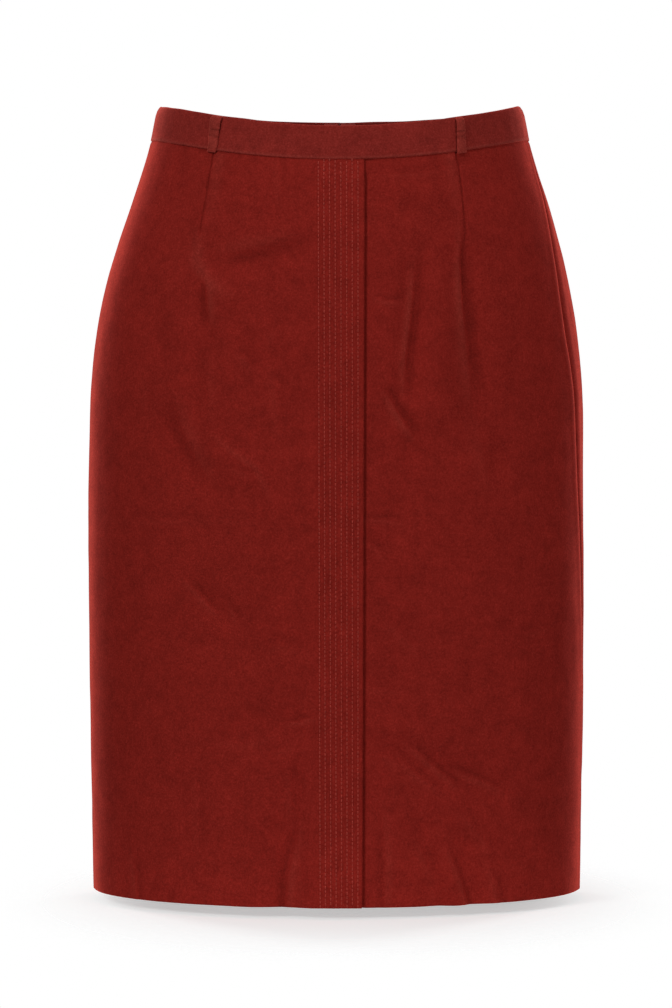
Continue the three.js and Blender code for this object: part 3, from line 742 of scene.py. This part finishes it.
def back_left(material):
    begin = lambda z: side_seam("left", z) + SEAM_HALF / SIDE_RADIUS
    end = lambda z: math.pi - back_half_gap(z) / section("half", z)
    columns = plain_columns("back_left", begin, end, step=BACK_COLUMN_STEP)
    return panel_piece("back_left", columns, material)


def back_right(material):
    begin = lambda z: back_half_gap(z) / section("half", z) - math.pi
    end = lambda z: side_seam("right", z) - SEAM_HALF / SIDE_RADIUS
    columns = plain_columns("back_right", begin, end, step=BACK_COLUMN_STEP)
    return panel_piece("back_right", columns, material)


# The waistband, its loops and the zip

BAND_COLUMNS = 330
BAND_SWELL = 0.22
BAND_SLIT_SHUT = 0.0
SLIDER_CLEARS = (17.4, 18.6)  # heights between which the band's ends come together over the slider
BAND_LEAN = 1.7  # how far the band's top leans in over the side seams
BAND_LEAN_DEPTH = 7
BAND_LEAN_REACH = 0.3  # radians to either side of a side seam
CROWN_UNEVEN = 0.35
# The band's section: the crown in degrees, then shares of the height on its outer and inner face
CROWN_PHASES = (80, 55, 28, 0)
OUTER_SHARES = (0.92, 0.78, 0.55, 0.3, 0.12)
INNER_SHARES = (0.4, 0.6, 0.78, 0.92)
# Its lower edge, outside and then inside: offset, and height above the seam
LOWER_EDGE = [(0.85, 1.3), (0.68, 0.5), (0.25, 0.05), (-0.35, 0)]
LOWER_INSIDE = [(-0.85, 0.3), (-0.95, 2), (-0.95, 4), (-1.5, 5), (-1.8, 6.5)]
HIGHLIGHT_POINTS = [9, 10]  # the points of a section along the lower edge, lightened as a painted highlight
PAINTED_HIGHLIGHT = 0.7
INNER_TOP_POINTS = slice(-8, None)  # the points of a section on the inner face, up to the crown
# painted shade on the band's inner face, up to the crown
INNER_PAINTED_SHADE = -1.0


def band_edge(z):
    """The angle of the band's left end at a height."""
    half_gap = mix(SLIT_HALF, BAND_SLIT_SHUT, smooth(z, *SLIDER_CLEARS))
    return math.pi - half_gap / section("half", 0)


def band_ring(angle, swell):
    """The band's section at an angle: offsets and heights, outer face down and inner face up."""
    radius = (BAND_PROUD + BAND_INSIDE) / 2
    centre = (BAND_PROUD - BAND_INSIDE) / 2
    low = float(seam_height(angle))
    uneven = CROWN_UNEVEN * soft_noise(angle * MEAN_RADIUS, 0, 26, 33)
    crown = float(top_height(angle)) - radius + uneven
    top = crown + radius
    phases = np.radians(CROWN_PHASES)
    ring = [(centre + radius * math.cos(p), crown + radius * math.sin(p)) for p in phases]
    for share in OUTER_SHARES:
        ring.append((BAND_PROUD + swell * math.sin(math.pi * share), mix(low, crown, share)))
    ring += [(offset, low + rise) for offset, rise in LOWER_EDGE + LOWER_INSIDE]
    ring += [(-BAND_INSIDE, mix(low, crown, share)) for share in INNER_SHARES]
    ring += [(centre - radius * math.cos(p), crown + radius * math.sin(p)) for p in phases[::-1]]
    ring = np.array(ring)
    at_side = math.exp(-(((abs(angle) - math.pi / 2) / BAND_LEAN_REACH) ** 2))
    ring[:, 0] -= BAND_LEAN * at_side * smooth(ring[:, 1], top - BAND_LEAN_DEPTH, top) ** 2
    return ring


def waistband(material):
    half_thick = (BAND_PROUD + BAND_INSIDE) / 2
    ends = np.array(rim_steps(half_thick)) / section("half", 0)
    last = 1 - ends / math.pi
    shares = np.concatenate([-last, np.linspace(-1, 1, BAND_COLUMNS)[3:-3], last[::-1]])
    rings = []
    for share in shares:
        angle = share * math.pi
        s = angle * MEAN_RADIUS
        noise = 0.28 * soft_noise(s, 0, 21, 31) + 0.15 * soft_noise(s, 9, 7, 32)
        ring = band_ring(angle, BAND_SWELL + noise)
        middle = (ring[:, 0] + ring[::-1, 0]) / 2
        from_end = (1 - abs(share)) * math.pi * section("half", 0)
        thin = rim_share(from_end, half_thick)
        offset = middle + (ring[:, 0] - middle) * thin
        rings.append(place(share * band_edge(ring[:, 1]), ring[:, 1], offset))
    rings = np.array(rings)
    piece = new_mesh("waistband_cloth", *closed_loft(rings), material, slot="band_cloth")
    # painted highlight along the lower edge and painted shade on the inner face
    nap = np.zeros(rings.shape[:2])
    nap[:, HIGHLIGHT_POINTS] = PAINTED_HIGHLIGHT
    nap[:, INNER_TOP_POINTS] = INNER_PAINTED_SHADE
    store_painted_light(piece, nap)
    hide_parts("waistband")
    return piece


def normal_at(angle, z):
    across = np.sin(angle) / section("half", z)
    forward = -np.cos(angle) / depth_at(angle, z)
    normal = np.stack([across, forward, 0 * np.asarray(z, float)], axis=-1)
    return normal / np.linalg.norm(normal, axis=-1, keepdims=True)


LOOP_CLOTH = 1.5
LOOP_RINGS = 50
LOOP_ARCH = 0.28
LOOP_FOOT_THICKER = 1.3  # where the foot is turned under
LOOP_FOOT_RINGS = 8
# Each loop's face, its middle at the top edge and at the seam, and its width at both
LOOPS = [
    ("belt_loop_front_right", "front", -90.1, -96.3, 8.8, 6.2),
    ("belt_loop_front_left", "front", 88.1, 90.7, 5.2, 7.0),
    ("belt_loop_back_right", "back", -106, -106, 7.4, 7.4),
    ("belt_loop_back_left", "back", 106, 106, 7.4, 7.4),
]
# The loop's middle line seen edge on: measured from the top edge or the seam, rise and out
LOOP_LINE = [
    ("top", -1.0, -1.1), ("top", -0.75, 0.1), ("top", -1.1, 1.2), ("top", -2.3, 2.1),
    ("top", -5, 2.75), ("top", -10, 2.7), ("seam", 10, 2.3), ("seam", 5, 1.95),
    ("seam", 1.5, 1.65), ("seam", -0.4, 1.35), ("seam", -1.9, 1.05),
]


def through(points, count):
    """A smooth line through a few points, at evenly spaced steps of its parameter."""
    p = np.array(points, float)
    t = np.linspace(0, len(p) - 1, count)
    i = np.clip(t.astype(int), 0, len(p) - 2)
    f = (t - i)[:, None]
    before = p[np.clip(i - 1, 0, None)]
    after = p[np.clip(i + 2, None, len(p) - 1)]
    a, b = p[i], p[i + 1]
    ma, mb = (b - before) / 2, (after - a) / 2
    return (a * (1 + 2 * f) * (1 - f) ** 2 + ma * f * (1 - f) ** 2
            + b * f * f * (3 - 2 * f) + mb * f * f * (f - 1))


def belt_loop(name, face, top, foot, top_width, foot_width, material):
    """A strip sewn at the band's top edge and at the seam, a little arched across its width."""
    turn = 1 if face == "front" else -1
    round_angles = np.radians(np.arange(0, 360, 18))
    squared = lambda v, power: np.sign(v) * np.abs(v) ** power
    wide = squared(np.cos(round_angles), 0.5)
    thick = squared(np.sin(round_angles), 0.75) * LOOP_CLOTH / 2
    arch = LOOP_ARCH * (1 - wide**2)
    line = through([(rise, out, float(start == "top")) for start, rise, out in LOOP_LINE], LOOP_RINGS)
    count = len(line)
    rings = []
    for i, (rise, out, from_top) in enumerate(line):
        down = i / (count - 1)
        before, after = line[max(0, i - 1)], line[min(count - 1, i + 1)]
        x = mix(top, foot, down) + turn * wide * mix(top_width, foot_width, down) / 2
        angle = angle_of(face, x, 0)
        share = np.clip(from_top, 0, 1)
        base = mix(seam_height(angle), top_height(angle), share)
        climbed = np.clip(after[2], 0, 1) - np.clip(before[2], 0, 1)
        run = np.array([after[1] - before[1], after[0] - before[0] + climbed * BAND_HEIGHT])
        run /= np.linalg.norm(run)
        half = thick * (LOOP_FOOT_THICKER if i > count - LOOP_FOOT_RINGS else 1)
        z = base + rise + run[0] * half
        rings.append(place(angle_of(face, x, z), z, out + arch - run[1] * half, fine=False))
    piece = new_mesh(name + "_strip", *closed_loft(np.array(rings)), material, slot="band_cloth")
    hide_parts(name)
    return piece


# Topstitching

STITCH_STEP = 3.2
STITCH_LENGTH = 2.7
STITCH_STANDS = 0.14  # how far the thread's middle stands out of the lap
STITCH_PULL = 0.14
STITCH_DRIFT = 0.12  # how far a row may lie beside its place
STITCH_ENDS = (0.4, 1.6)  # distances from the waist seam and from the hem
THREAD_RADIUS = 0.5


def short_tubes(centre, radius, normal, sides=6):
    """Many short closed tubes. centre and normal are arrays of tube, ring and x, y, z."""
    run = np.gradient(centre, axis=1)
    side = np.cross(normal, run)
    side /= np.linalg.norm(side, axis=-1, keepdims=True)
    turn = np.arange(sides) * 2 * math.pi / sides
    spoke = np.cos(turn)[:, None] * normal[..., None, :] + np.sin(turn)[:, None] * side[..., None, :]
    points = centre[..., None, :] + radius[None, :, None, None] * spoke
    tubes, rings = centre.shape[:2]
    faces = []
    for tube in range(tubes):
        base = tube * rings * sides
        for ring in range(rings - 1):
            a = base + ring * sides
            for k in range(sides):
                n = (k + 1) % sides
                faces.append((a + k, a + n, a + sides + n, a + sides + k))
        last = base + (rings - 1) * sides
        faces.append(tuple(base + k for k in reversed(range(sides))))
        faces.append(tuple(last + k for k in range(sides)))
    return points.reshape(-1, 3), faces


def stitch_row(angle_at, offset_at, heights, rng):
    """Stitches down a line, one for each height: spindles that dip into the cloth at both ends."""
    share = np.array([-0.5, -0.36, -0.12, 0.12, 0.36, 0.5])
    sink = np.array([-0.3, -0.02, 0.06, 0.06, -0.02, -0.3])
    radius = THREAD_RADIUS * np.array([0.35, 0.85, 1, 1, 0.85, 0.35])
    z = heights[:, None] + share[None, :] * STITCH_LENGTH
    angle = angle_at(z)
    pulled = np.abs(rng.normal(0, STITCH_PULL, len(heights)))[:, None]
    centre = place(angle, z, offset_at(z) + sink[None, :] - pulled)
    return short_tubes(centre, radius, normal_at(angle, z))


def joined(parts):
    """One list of points and faces from several."""
    points, faces, start = [], [], 0
    for some_points, some_faces in parts:
        points.append(some_points)
        faces += [tuple(i + start for i in face) for face in some_faces]
        start += len(some_points)
    return np.concatenate(points), faces


def lap_stitching(material):
    """The lap's rows of topstitch, each a little off its place and with stitches of its own."""
    rng = np.random.default_rng(5)
    rows = []
    for row in range(STITCH_ROWS):
        seam = float(seam_height(angle_of("front", stitch_x(row, -20), -20)))
        top = seam - STITCH_ENDS[0] - rng.uniform(0, STITCH_STEP)
        heights = np.arange(top, -SKIRT_LENGTH + STITCH_ENDS[1], -STITCH_STEP)
        drift = rng.uniform(-STITCH_DRIFT, STITCH_DRIFT)
        x_at = lambda z, r=row, d=drift: stitch_x(r, z) + d
        rows.append(stitch_row(
            lambda z: angle_of("front", x_at(z), z),
            lambda z, r=row: lap_face(x_at(z), z, r + 0 * z) + STITCH_STANDS, heights, rng))
    new_mesh("lap_topstitch", *joined(rows), material)


# The zip inside the centre back

TAPE_ROWS = 70
TAPE_COLUMNS = 9
TOOTH_PITCH = 1.5
TOOTH_RADIUS = 0.5
TOOTH_DEPTH = 4.3
CAST_BEVEL = 0.22
CAST_SHARP = 35  # degrees between faces, above which an edge is broken
CAST_FLAT = 2  # degrees between faces, below which they are one
CAST_MERGED = 1e-6


def zip_tape(name, from_width, to_width, material):
    """One tape, between two distances from the centre back, thinner along both edges."""
    heights = np.linspace(ZIP_TOP, ZIP_END, TAPE_ROWS)
    rings = []
    for share in np.linspace(0, 1, TAPE_COLUMNS):
        width = mix(from_width, to_width, share)
        angle = math.pi - width / section("half", heights)
        thin = 0.5 if share in (0, 1) else 1
        outer = place(angle, heights, -TAPE_FACE - TAPE_THICK * (1 - thin) / 2)
        inner = place(angle, heights, -TAPE_FACE - TAPE_THICK * (1 + thin) / 2)
        rings.append(np.concatenate([outer, inner[::-1]]))
    piece = new_mesh(name + "_weave", *closed_loft(np.array(rings)), material, slot="zip_tape")
    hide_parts(name)
    return piece


def zip_teeth(material):
    """The coil seen as what it is from inside: a row of nylon turns on each tape, meshed."""
    sets = []
    for side in (-1, 1):
        heights = np.arange(SLIDER_Z - 1.5 + side * TOOTH_PITCH / 4, ZIP_END + 2, -TOOTH_PITCH)
        width = np.array([-0.45, -0.2, 0.6, 1.6, 2.2, 2.45]) * side
        lean = np.array([0, 0, 0.1, 0.3, 0.4, 0.45])
        sink = np.array([0.1, 0, 0, 0, 0.15, 0.5])
        z = heights[:, None] + lean[None, :]
        angle = math.pi - width[None, :] / section("half", z)
        centre = place(angle, z, -TOOTH_DEPTH + sink[None, :])
        radius = TOOTH_RADIUS * np.array([0.7, 1, 0.9, 0.85, 0.85, 0.7])
        sets.append(short_tubes(centre, radius, normal_at(angle, z)))
    piece = new_mesh("zip_coil", *joined(sets), material, slot="zip_tape")
    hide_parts("zip_chain")


def bevelled(node, body, material):
    """A cast piece of the zip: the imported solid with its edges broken."""
    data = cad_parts[node].data.copy()
    shape = bmesh.new()
    shape.from_mesh(data)
    bmesh.ops.remove_doubles(shape, verts=shape.verts, dist=CAST_MERGED)
    flat = math.radians(CAST_FLAT)
    bmesh.ops.dissolve_limit(shape, angle_limit=flat, verts=shape.verts, edges=shape.edges)
    sharp = [e for e in shape.edges if e.calc_face_angle(0) > math.radians(CAST_SHARP)]
    bmesh.ops.bevel(shape, geom=sharp, offset=CAST_BEVEL * MM, segments=3, profile=0.6, affect="EDGES")
    shape.to_mesh(data)
    shape.free()
    data.shade_smooth()
    data.materials.clear()
    data.materials.append(material)
    piece = new_object(node + "_cast", data)
    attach(piece, body)
    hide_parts(node)


# Materials

class Nodes:
    """A small helper that adds and links shader nodes."""

    def __init__(self, name):
        self.material = bpy.data.materials.new(name)
        self.material.use_nodes = True
        self.tree = self.material.node_tree
        self.shader = self.tree.nodes["Principled BSDF"]
        self.place = self.new("TexCoord").outputs["Object"]

    def feed(self, value, node, key):
        """Links a socket, or sets a colour or a number."""
        if isinstance(value, bpy.types.NodeSocket):
            self.tree.links.new(value, node.inputs[key])
        elif isinstance(value, tuple):
            node.inputs[key].default_value = (*value, 1)
        else:
            node.inputs[key].default_value = value

    def set(self, node, **values):
        for key, value in values.items():
            self.feed(value, node, key.replace("_", " "))

    def new(self, kind, **values):
        node = self.tree.nodes.new("ShaderNode" + kind)
        self.set(node, **values)
        return node

    def noise(self, size_mm, detail=2.0, roughness=0.5, distortion=0.0):
        return self.new(
            "TexNoise", Vector=self.place, Scale=1000 / size_mm, Detail=detail,
            Roughness=roughness, Distortion=distortion).outputs["Fac"]

    def ramp(self, value, stops):
        node = self.new("ValToRGB", Fac=value)
        ramp = node.color_ramp
        while len(ramp.elements) < len(stops):
            ramp.elements.new(0.5)
        for element, (position, colour) in zip(ramp.elements, stops):
            element.position = position
            element.color = (*colour, 1)
        return node.outputs["Color"]

    def mix(self, factor, a, b, blend="MIX"):
        node = self.new("Mix")
        node.data_type = "RGBA"
        node.blend_type = blend
        for value, key in ((factor, 0), (a, 6), (b, 7)):
            self.feed(value, node, key)
        return node.outputs[2]

    def maths(self, operation, *values):
        node = self.new("Math")
        node.operation = operation
        for key, value in enumerate(values):
            self.feed(value, node, key)
        return node.outputs[0]

    def bump(self, height, distance_mm, strength=1.0, under=None):
        node = self.new("Bump", Height=height, Strength=strength, Distance=distance_mm * MM)
        if under is not None:
            self.set(node, Normal=under)
        return node.outputs["Normal"]

    def finish(self, **values):
        self.set(self.shader, **values)
        return self.material


CLOTH_DARK = (0.208, 0.0115, 0.0080)
CLOTH_MIDDLE = (0.334, 0.0216, 0.0150)
CLOTH_LIGHT = (0.496, 0.0432, 0.0310)
BAND_TINT = (0.95, 1.3, 1.4)
LOOP_TINT = (1.06, 1.85, 1.95)
SHEEN_TINT = (1.0, 0.17, 0.115)
THREAD_SHADES = [(0.35, (0.38, 0.040, 0.030)), (0.65, (0.60, 0.085, 0.062))]
TAPE_SHADES = [(0.2, (0.22, 0.024, 0.018)), (0.8, (0.44, 0.050, 0.038))]
COIL_SHADES = [(0.3, (0.28, 0.032, 0.025)), (0.7, (0.42, 0.050, 0.038))]
METAL_SHADES = [(0.62, (0.36, 0.045, 0.034)), (0.74, (0.52, 0.26, 0.20))]


def grey(level):
    return (level, level, level)


def tinted(colour, shares):
    return tuple(v * share for v, share in zip(colour, shares))


# A painted sheen: the colour brightens towards the outline, by how far the cloth has turned away
PAINTED_RIM_SHEEN = [
    (0.46, grey(1)), (0.58, (1.22, 1.3, 1.3)), (0.68, (1.75, 2.1, 2.1)), (0.78, (2.3, 3.0, 3.0)),
    (0.90, (3.0, 4.2, 4.2)),
]
# The cloth's colour darkened as painted shade, as it is, and lightened as painted highlight
PAINTED_LIGHT_SHADES = [(0.0, grey(0.76)), (0.5, grey(1)), (1.0, (1.12, 1.6, 1.6))]


def napped_cloth(name, tint=(1, 1, 1)):
    """Brushed cotton: a dense short nap whose direction wanders, with a soft sheen at its edges from the
    shader and a painted sheen in its colour, and painted shade and highlight from the stored attribute.
    """
    n = Nodes(name)
    drifts = n.noise(75, 2, 0.5, 0.3)
    patches = n.noise(15, 6, 0.9, 0.3)
    nap = n.noise(1.35, 3, 0.72)
    dark, middle, light = (tinted(c, tint) for c in (CLOTH_DARK, CLOTH_MIDDLE, CLOTH_LIGHT))
    fine = n.ramp(nap, [(0.30, dark), (0.52, middle), (0.76, light)])
    broad = n.ramp(drifts, [(0.35, tinted(middle, grey(0.95))), (0.65, tinted(middle, grey(1.05)))])
    colour = n.mix(0.62, broad, fine)
    colour = n.mix(1.0, colour, n.ramp(patches, [(0.36, grey(0.84)), (0.64, grey(1.16))]), "MULTIPLY")
    # painted shade and highlight, read from the stored attribute
    painted_light = n.new("Attribute")
    painted_light.attribute_name = PAINTED_LIGHT_ATTRIBUTE
    level = n.maths("MULTIPLY_ADD", painted_light.outputs["Fac"], 0.5, 0.5)
    colour = n.mix(1.0, colour, n.ramp(level, PAINTED_LIGHT_SHADES), "MULTIPLY")
    # painted sheen: the colour is brightened where the surface turns away
    painted_sheen = n.ramp(n.new("LayerWeight").outputs["Facing"], PAINTED_RIM_SHEEN)
    return n.finish(
        Base_Color=n.mix(1.0, colour, painted_sheen, "MULTIPLY"),
        Normal=n.bump(patches, 1.0, 0.25, n.bump(nap, 0.2, 0.6)),
        Roughness=1.0, Specular_IOR_Level=0.06,
        Sheen_Weight=1.0, Sheen_Roughness=0.19, Sheen_Tint=SHEEN_TINT)


def thread(name):
    n = Nodes(name)
    twist = n.noise(0.5, 1, 0.5)
    return n.finish(
        Base_Color=n.ramp(twist, THREAD_SHADES), Normal=n.bump(twist, 0.08, 0.6),
        Roughness=0.75, Specular_IOR_Level=0.12)


def woven_tape(name):
    n = Nodes(name)
    weave = n.new("TexWave", Vector=n.place, Scale=330, Distortion=1.2, Detail=2)
    weave.wave_type = "BANDS"
    weave.bands_direction = "Z"
    height = weave.outputs["Fac"]
    return n.finish(
        Base_Color=n.ramp(height, TAPE_SHADES), Normal=n.bump(height, 0.12, 0.7),
        Roughness=0.8, Specular_IOR_Level=0.25)


def nylon(name):
    n = Nodes(name)
    clouds = n.noise(2.0, 2, 0.5)
    return n.finish(
        Base_Color=n.ramp(clouds, COIL_SHADES),
        Roughness=n.ramp(clouds, [(0.3, grey(0.34)), (0.7, grey(0.48))]), Specular_IOR_Level=0.5)


def painted_metal(name):
    n = Nodes(name)
    wear = n.noise(1.6, 4, 0.6)
    return n.finish(
        Base_Color=n.ramp(wear, METAL_SHADES), Normal=n.bump(wear, 0.03, 0.4),
        Roughness=n.ramp(wear, [(0.3, grey(0.28)), (0.7, grey(0.44))]),
        Coat_Weight=0.35, Coat_Roughness=0.2)


# The studio

CAMERA_PLACE = (-0.0031, -2.757, -0.196)
CAMERA_AIM = (-0.0031, 0.0, -0.2802)
CAMERA_LENS = 127.1
CAMERA_SENSOR = 36
ROOM_LIGHT = 0.18
SKIRT_MIDDLE = (0, 0, -0.3)
# Each light's place, aim, size and power
SOFTBOXES = {
    "key": ((-2.3, -2.4, 1.5), SKIRT_MIDDLE, (1.0, 1.0), 37.5),
    "fill": ((2.2, -2.4, -0.1), SKIRT_MIDDLE, (1.4, 1.2), 21.7),
    "top": ((0, -0.1, 2.3), (0, 0, -0.5), (1.5, 1.2), 13),
    "rim_right": ((-2.3, 2.5, 0.2), SKIRT_MIDDLE, (0.8, 2.0), 44),
    "rim_left": ((2.3, 2.5, 0.2), SKIRT_MIDDLE, (0.8, 2.0), 42),
}
FLOOR_Z = -0.5865
FLOOR_COLOUR = (0.90, 0.95, 0.95)
FLOOR_GLOW = 0.44
FLOOR_REACH = 1.5
FLOOR_FADE = (0.15, 0.34)  # radii between which the floor passes into the white room
FLOOR_NARROWED = 1.2  # how much narrower the floor is than it is deep


def floor_white():
    """A pale matt floor with a glow of its own, which fades out to the white of the room."""
    n = Nodes("floor_white")
    widened = n.new("VectorMath")
    widened.operation = "MULTIPLY"
    n.feed(n.place, widened, 0)
    widened.inputs[1].default_value = (FLOOR_NARROWED, 1, 1)
    length = n.new("VectorMath")
    length.operation = "LENGTH"
    n.feed(widened.outputs["Vector"], length, 0)
    near, far = FLOOR_FADE
    fade = n.new("MapRange", Value=length.outputs["Value"], From_Min=near, From_Max=far)
    fade.interpolation_type = "SMOOTHSTEP"
    both = n.new("MixShader", Fac=fade.outputs["Result"])
    n.feed(n.shader.outputs[0], both, 1)
    n.feed(n.new("BsdfTransparent").outputs[0], both, 2)
    n.set(n.tree.nodes["Material Output"], Surface=both.outputs[0])
    seen = n.new("LightPath").outputs["Is Camera Ray"]
    return n.finish(
        Base_Color=FLOOR_COLOUR, Roughness=0.9, Specular_IOR_Level=0.1,
        Emission_Color=(1, 1, 1), Emission_Strength=n.maths("MULTIPLY", seen, FLOOR_GLOW))


def studio_floor():
    data = bpy.data.meshes.new("floor")
    corners = [(x * FLOOR_REACH, y * FLOOR_REACH, 0) for x, y in ((-1, -1), (1, -1), (1, 1), (-1, 1))]
    data.from_pydata(corners, [], [(0, 1, 2, 3)])
    data.materials.append(floor_white())
    floor = new_object("floor", data)
    floor.location.z = FLOOR_Z
    floor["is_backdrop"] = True


def studio_world():
    """A white room that looks white to the camera and lights the skirt more softly."""
    world = bpy.data.worlds.new("white_room")
    world.use_nodes = True
    tree = world.node_tree
    tree.nodes.clear()
    output = tree.nodes.new("ShaderNodeOutputWorld")
    light_path = tree.nodes.new("ShaderNodeLightPath")
    seen = tree.nodes.new("ShaderNodeBackground")
    lighting = tree.nodes.new("ShaderNodeBackground")
    mixer = tree.nodes.new("ShaderNodeMixShader")
    seen.inputs["Color"].default_value = (1, 1, 1, 1)
    lighting.inputs["Strength"].default_value = ROOM_LIGHT
    tree.links.new(light_path.outputs["Is Camera Ray"], mixer.inputs[0])
    tree.links.new(lighting.outputs[0], mixer.inputs[1])
    tree.links.new(seen.outputs[0], mixer.inputs[2])
    tree.links.new(mixer.outputs[0], output.inputs["Surface"])
    bpy.context.scene.world = world


def aimed_object(name, data, place_at, aim):
    obj = new_object(name, data)
    obj.location = place_at
    obj.rotation_euler = (Vector(aim) - Vector(place_at)).to_track_quat("-Z", "Y").to_euler()
    return obj


def softbox(name, place_at, aim, size, power):
    data = bpy.data.lights.new(name, "AREA")
    data.shape = "RECTANGLE"
    data.size, data.size_y = size
    data.energy = power
    aimed_object(name, data, place_at, aim).visible_camera = False


def studio_camera():
    data = bpy.data.cameras.new("camera")
    data.lens = CAMERA_LENS
    data.sensor_width = CAMERA_SENSOR
    data.clip_end = 60
    bpy.context.scene.camera = aimed_object("camera", data, CAMERA_PLACE, CAMERA_AIM)


# The whole

studio_camera()
studio_world()
studio_floor()
for light_name, light in SOFTBOXES.items():
    softbox(light_name, *light)
bpy.context.scene.view_settings.view_transform = "Standard"

skirt_cloth = napped_cloth("skirt_cloth")
band_cloth = napped_cloth("band_cloth", BAND_TINT)
loop_cloth = napped_cloth("loop_cloth", LOOP_TINT)
sewing = thread("sewing_thread")
tape_weave = woven_tape("zip_tape_weave")
coil = nylon("zip_nylon")
metal = painted_metal("zip_painted_metal")

panels = [make(skirt_cloth) for make in (front_right, front_left, back_left, back_right)]
band = waistband(band_cloth)
loops = [belt_loop(*loop, loop_cloth) for loop in LOOPS]
lap_stitching(sewing)
tape_to = SLIT_HALF + TAPE_WIDTH
tapes = [
    zip_tape("zip_tape_right", -tape_to, -SLIT_HALF, tape_weave),
    zip_tape("zip_tape_left", SLIT_HALF, tape_to, tape_weave),
]
zip_teeth(coil)
bevelled("zip_slider", BODY, metal)
bevelled("zip_pull", "pull", metal)

({
    "cad": [list(corner) for corner in cad_box],
    "visual": [list(corner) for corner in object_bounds()],
})
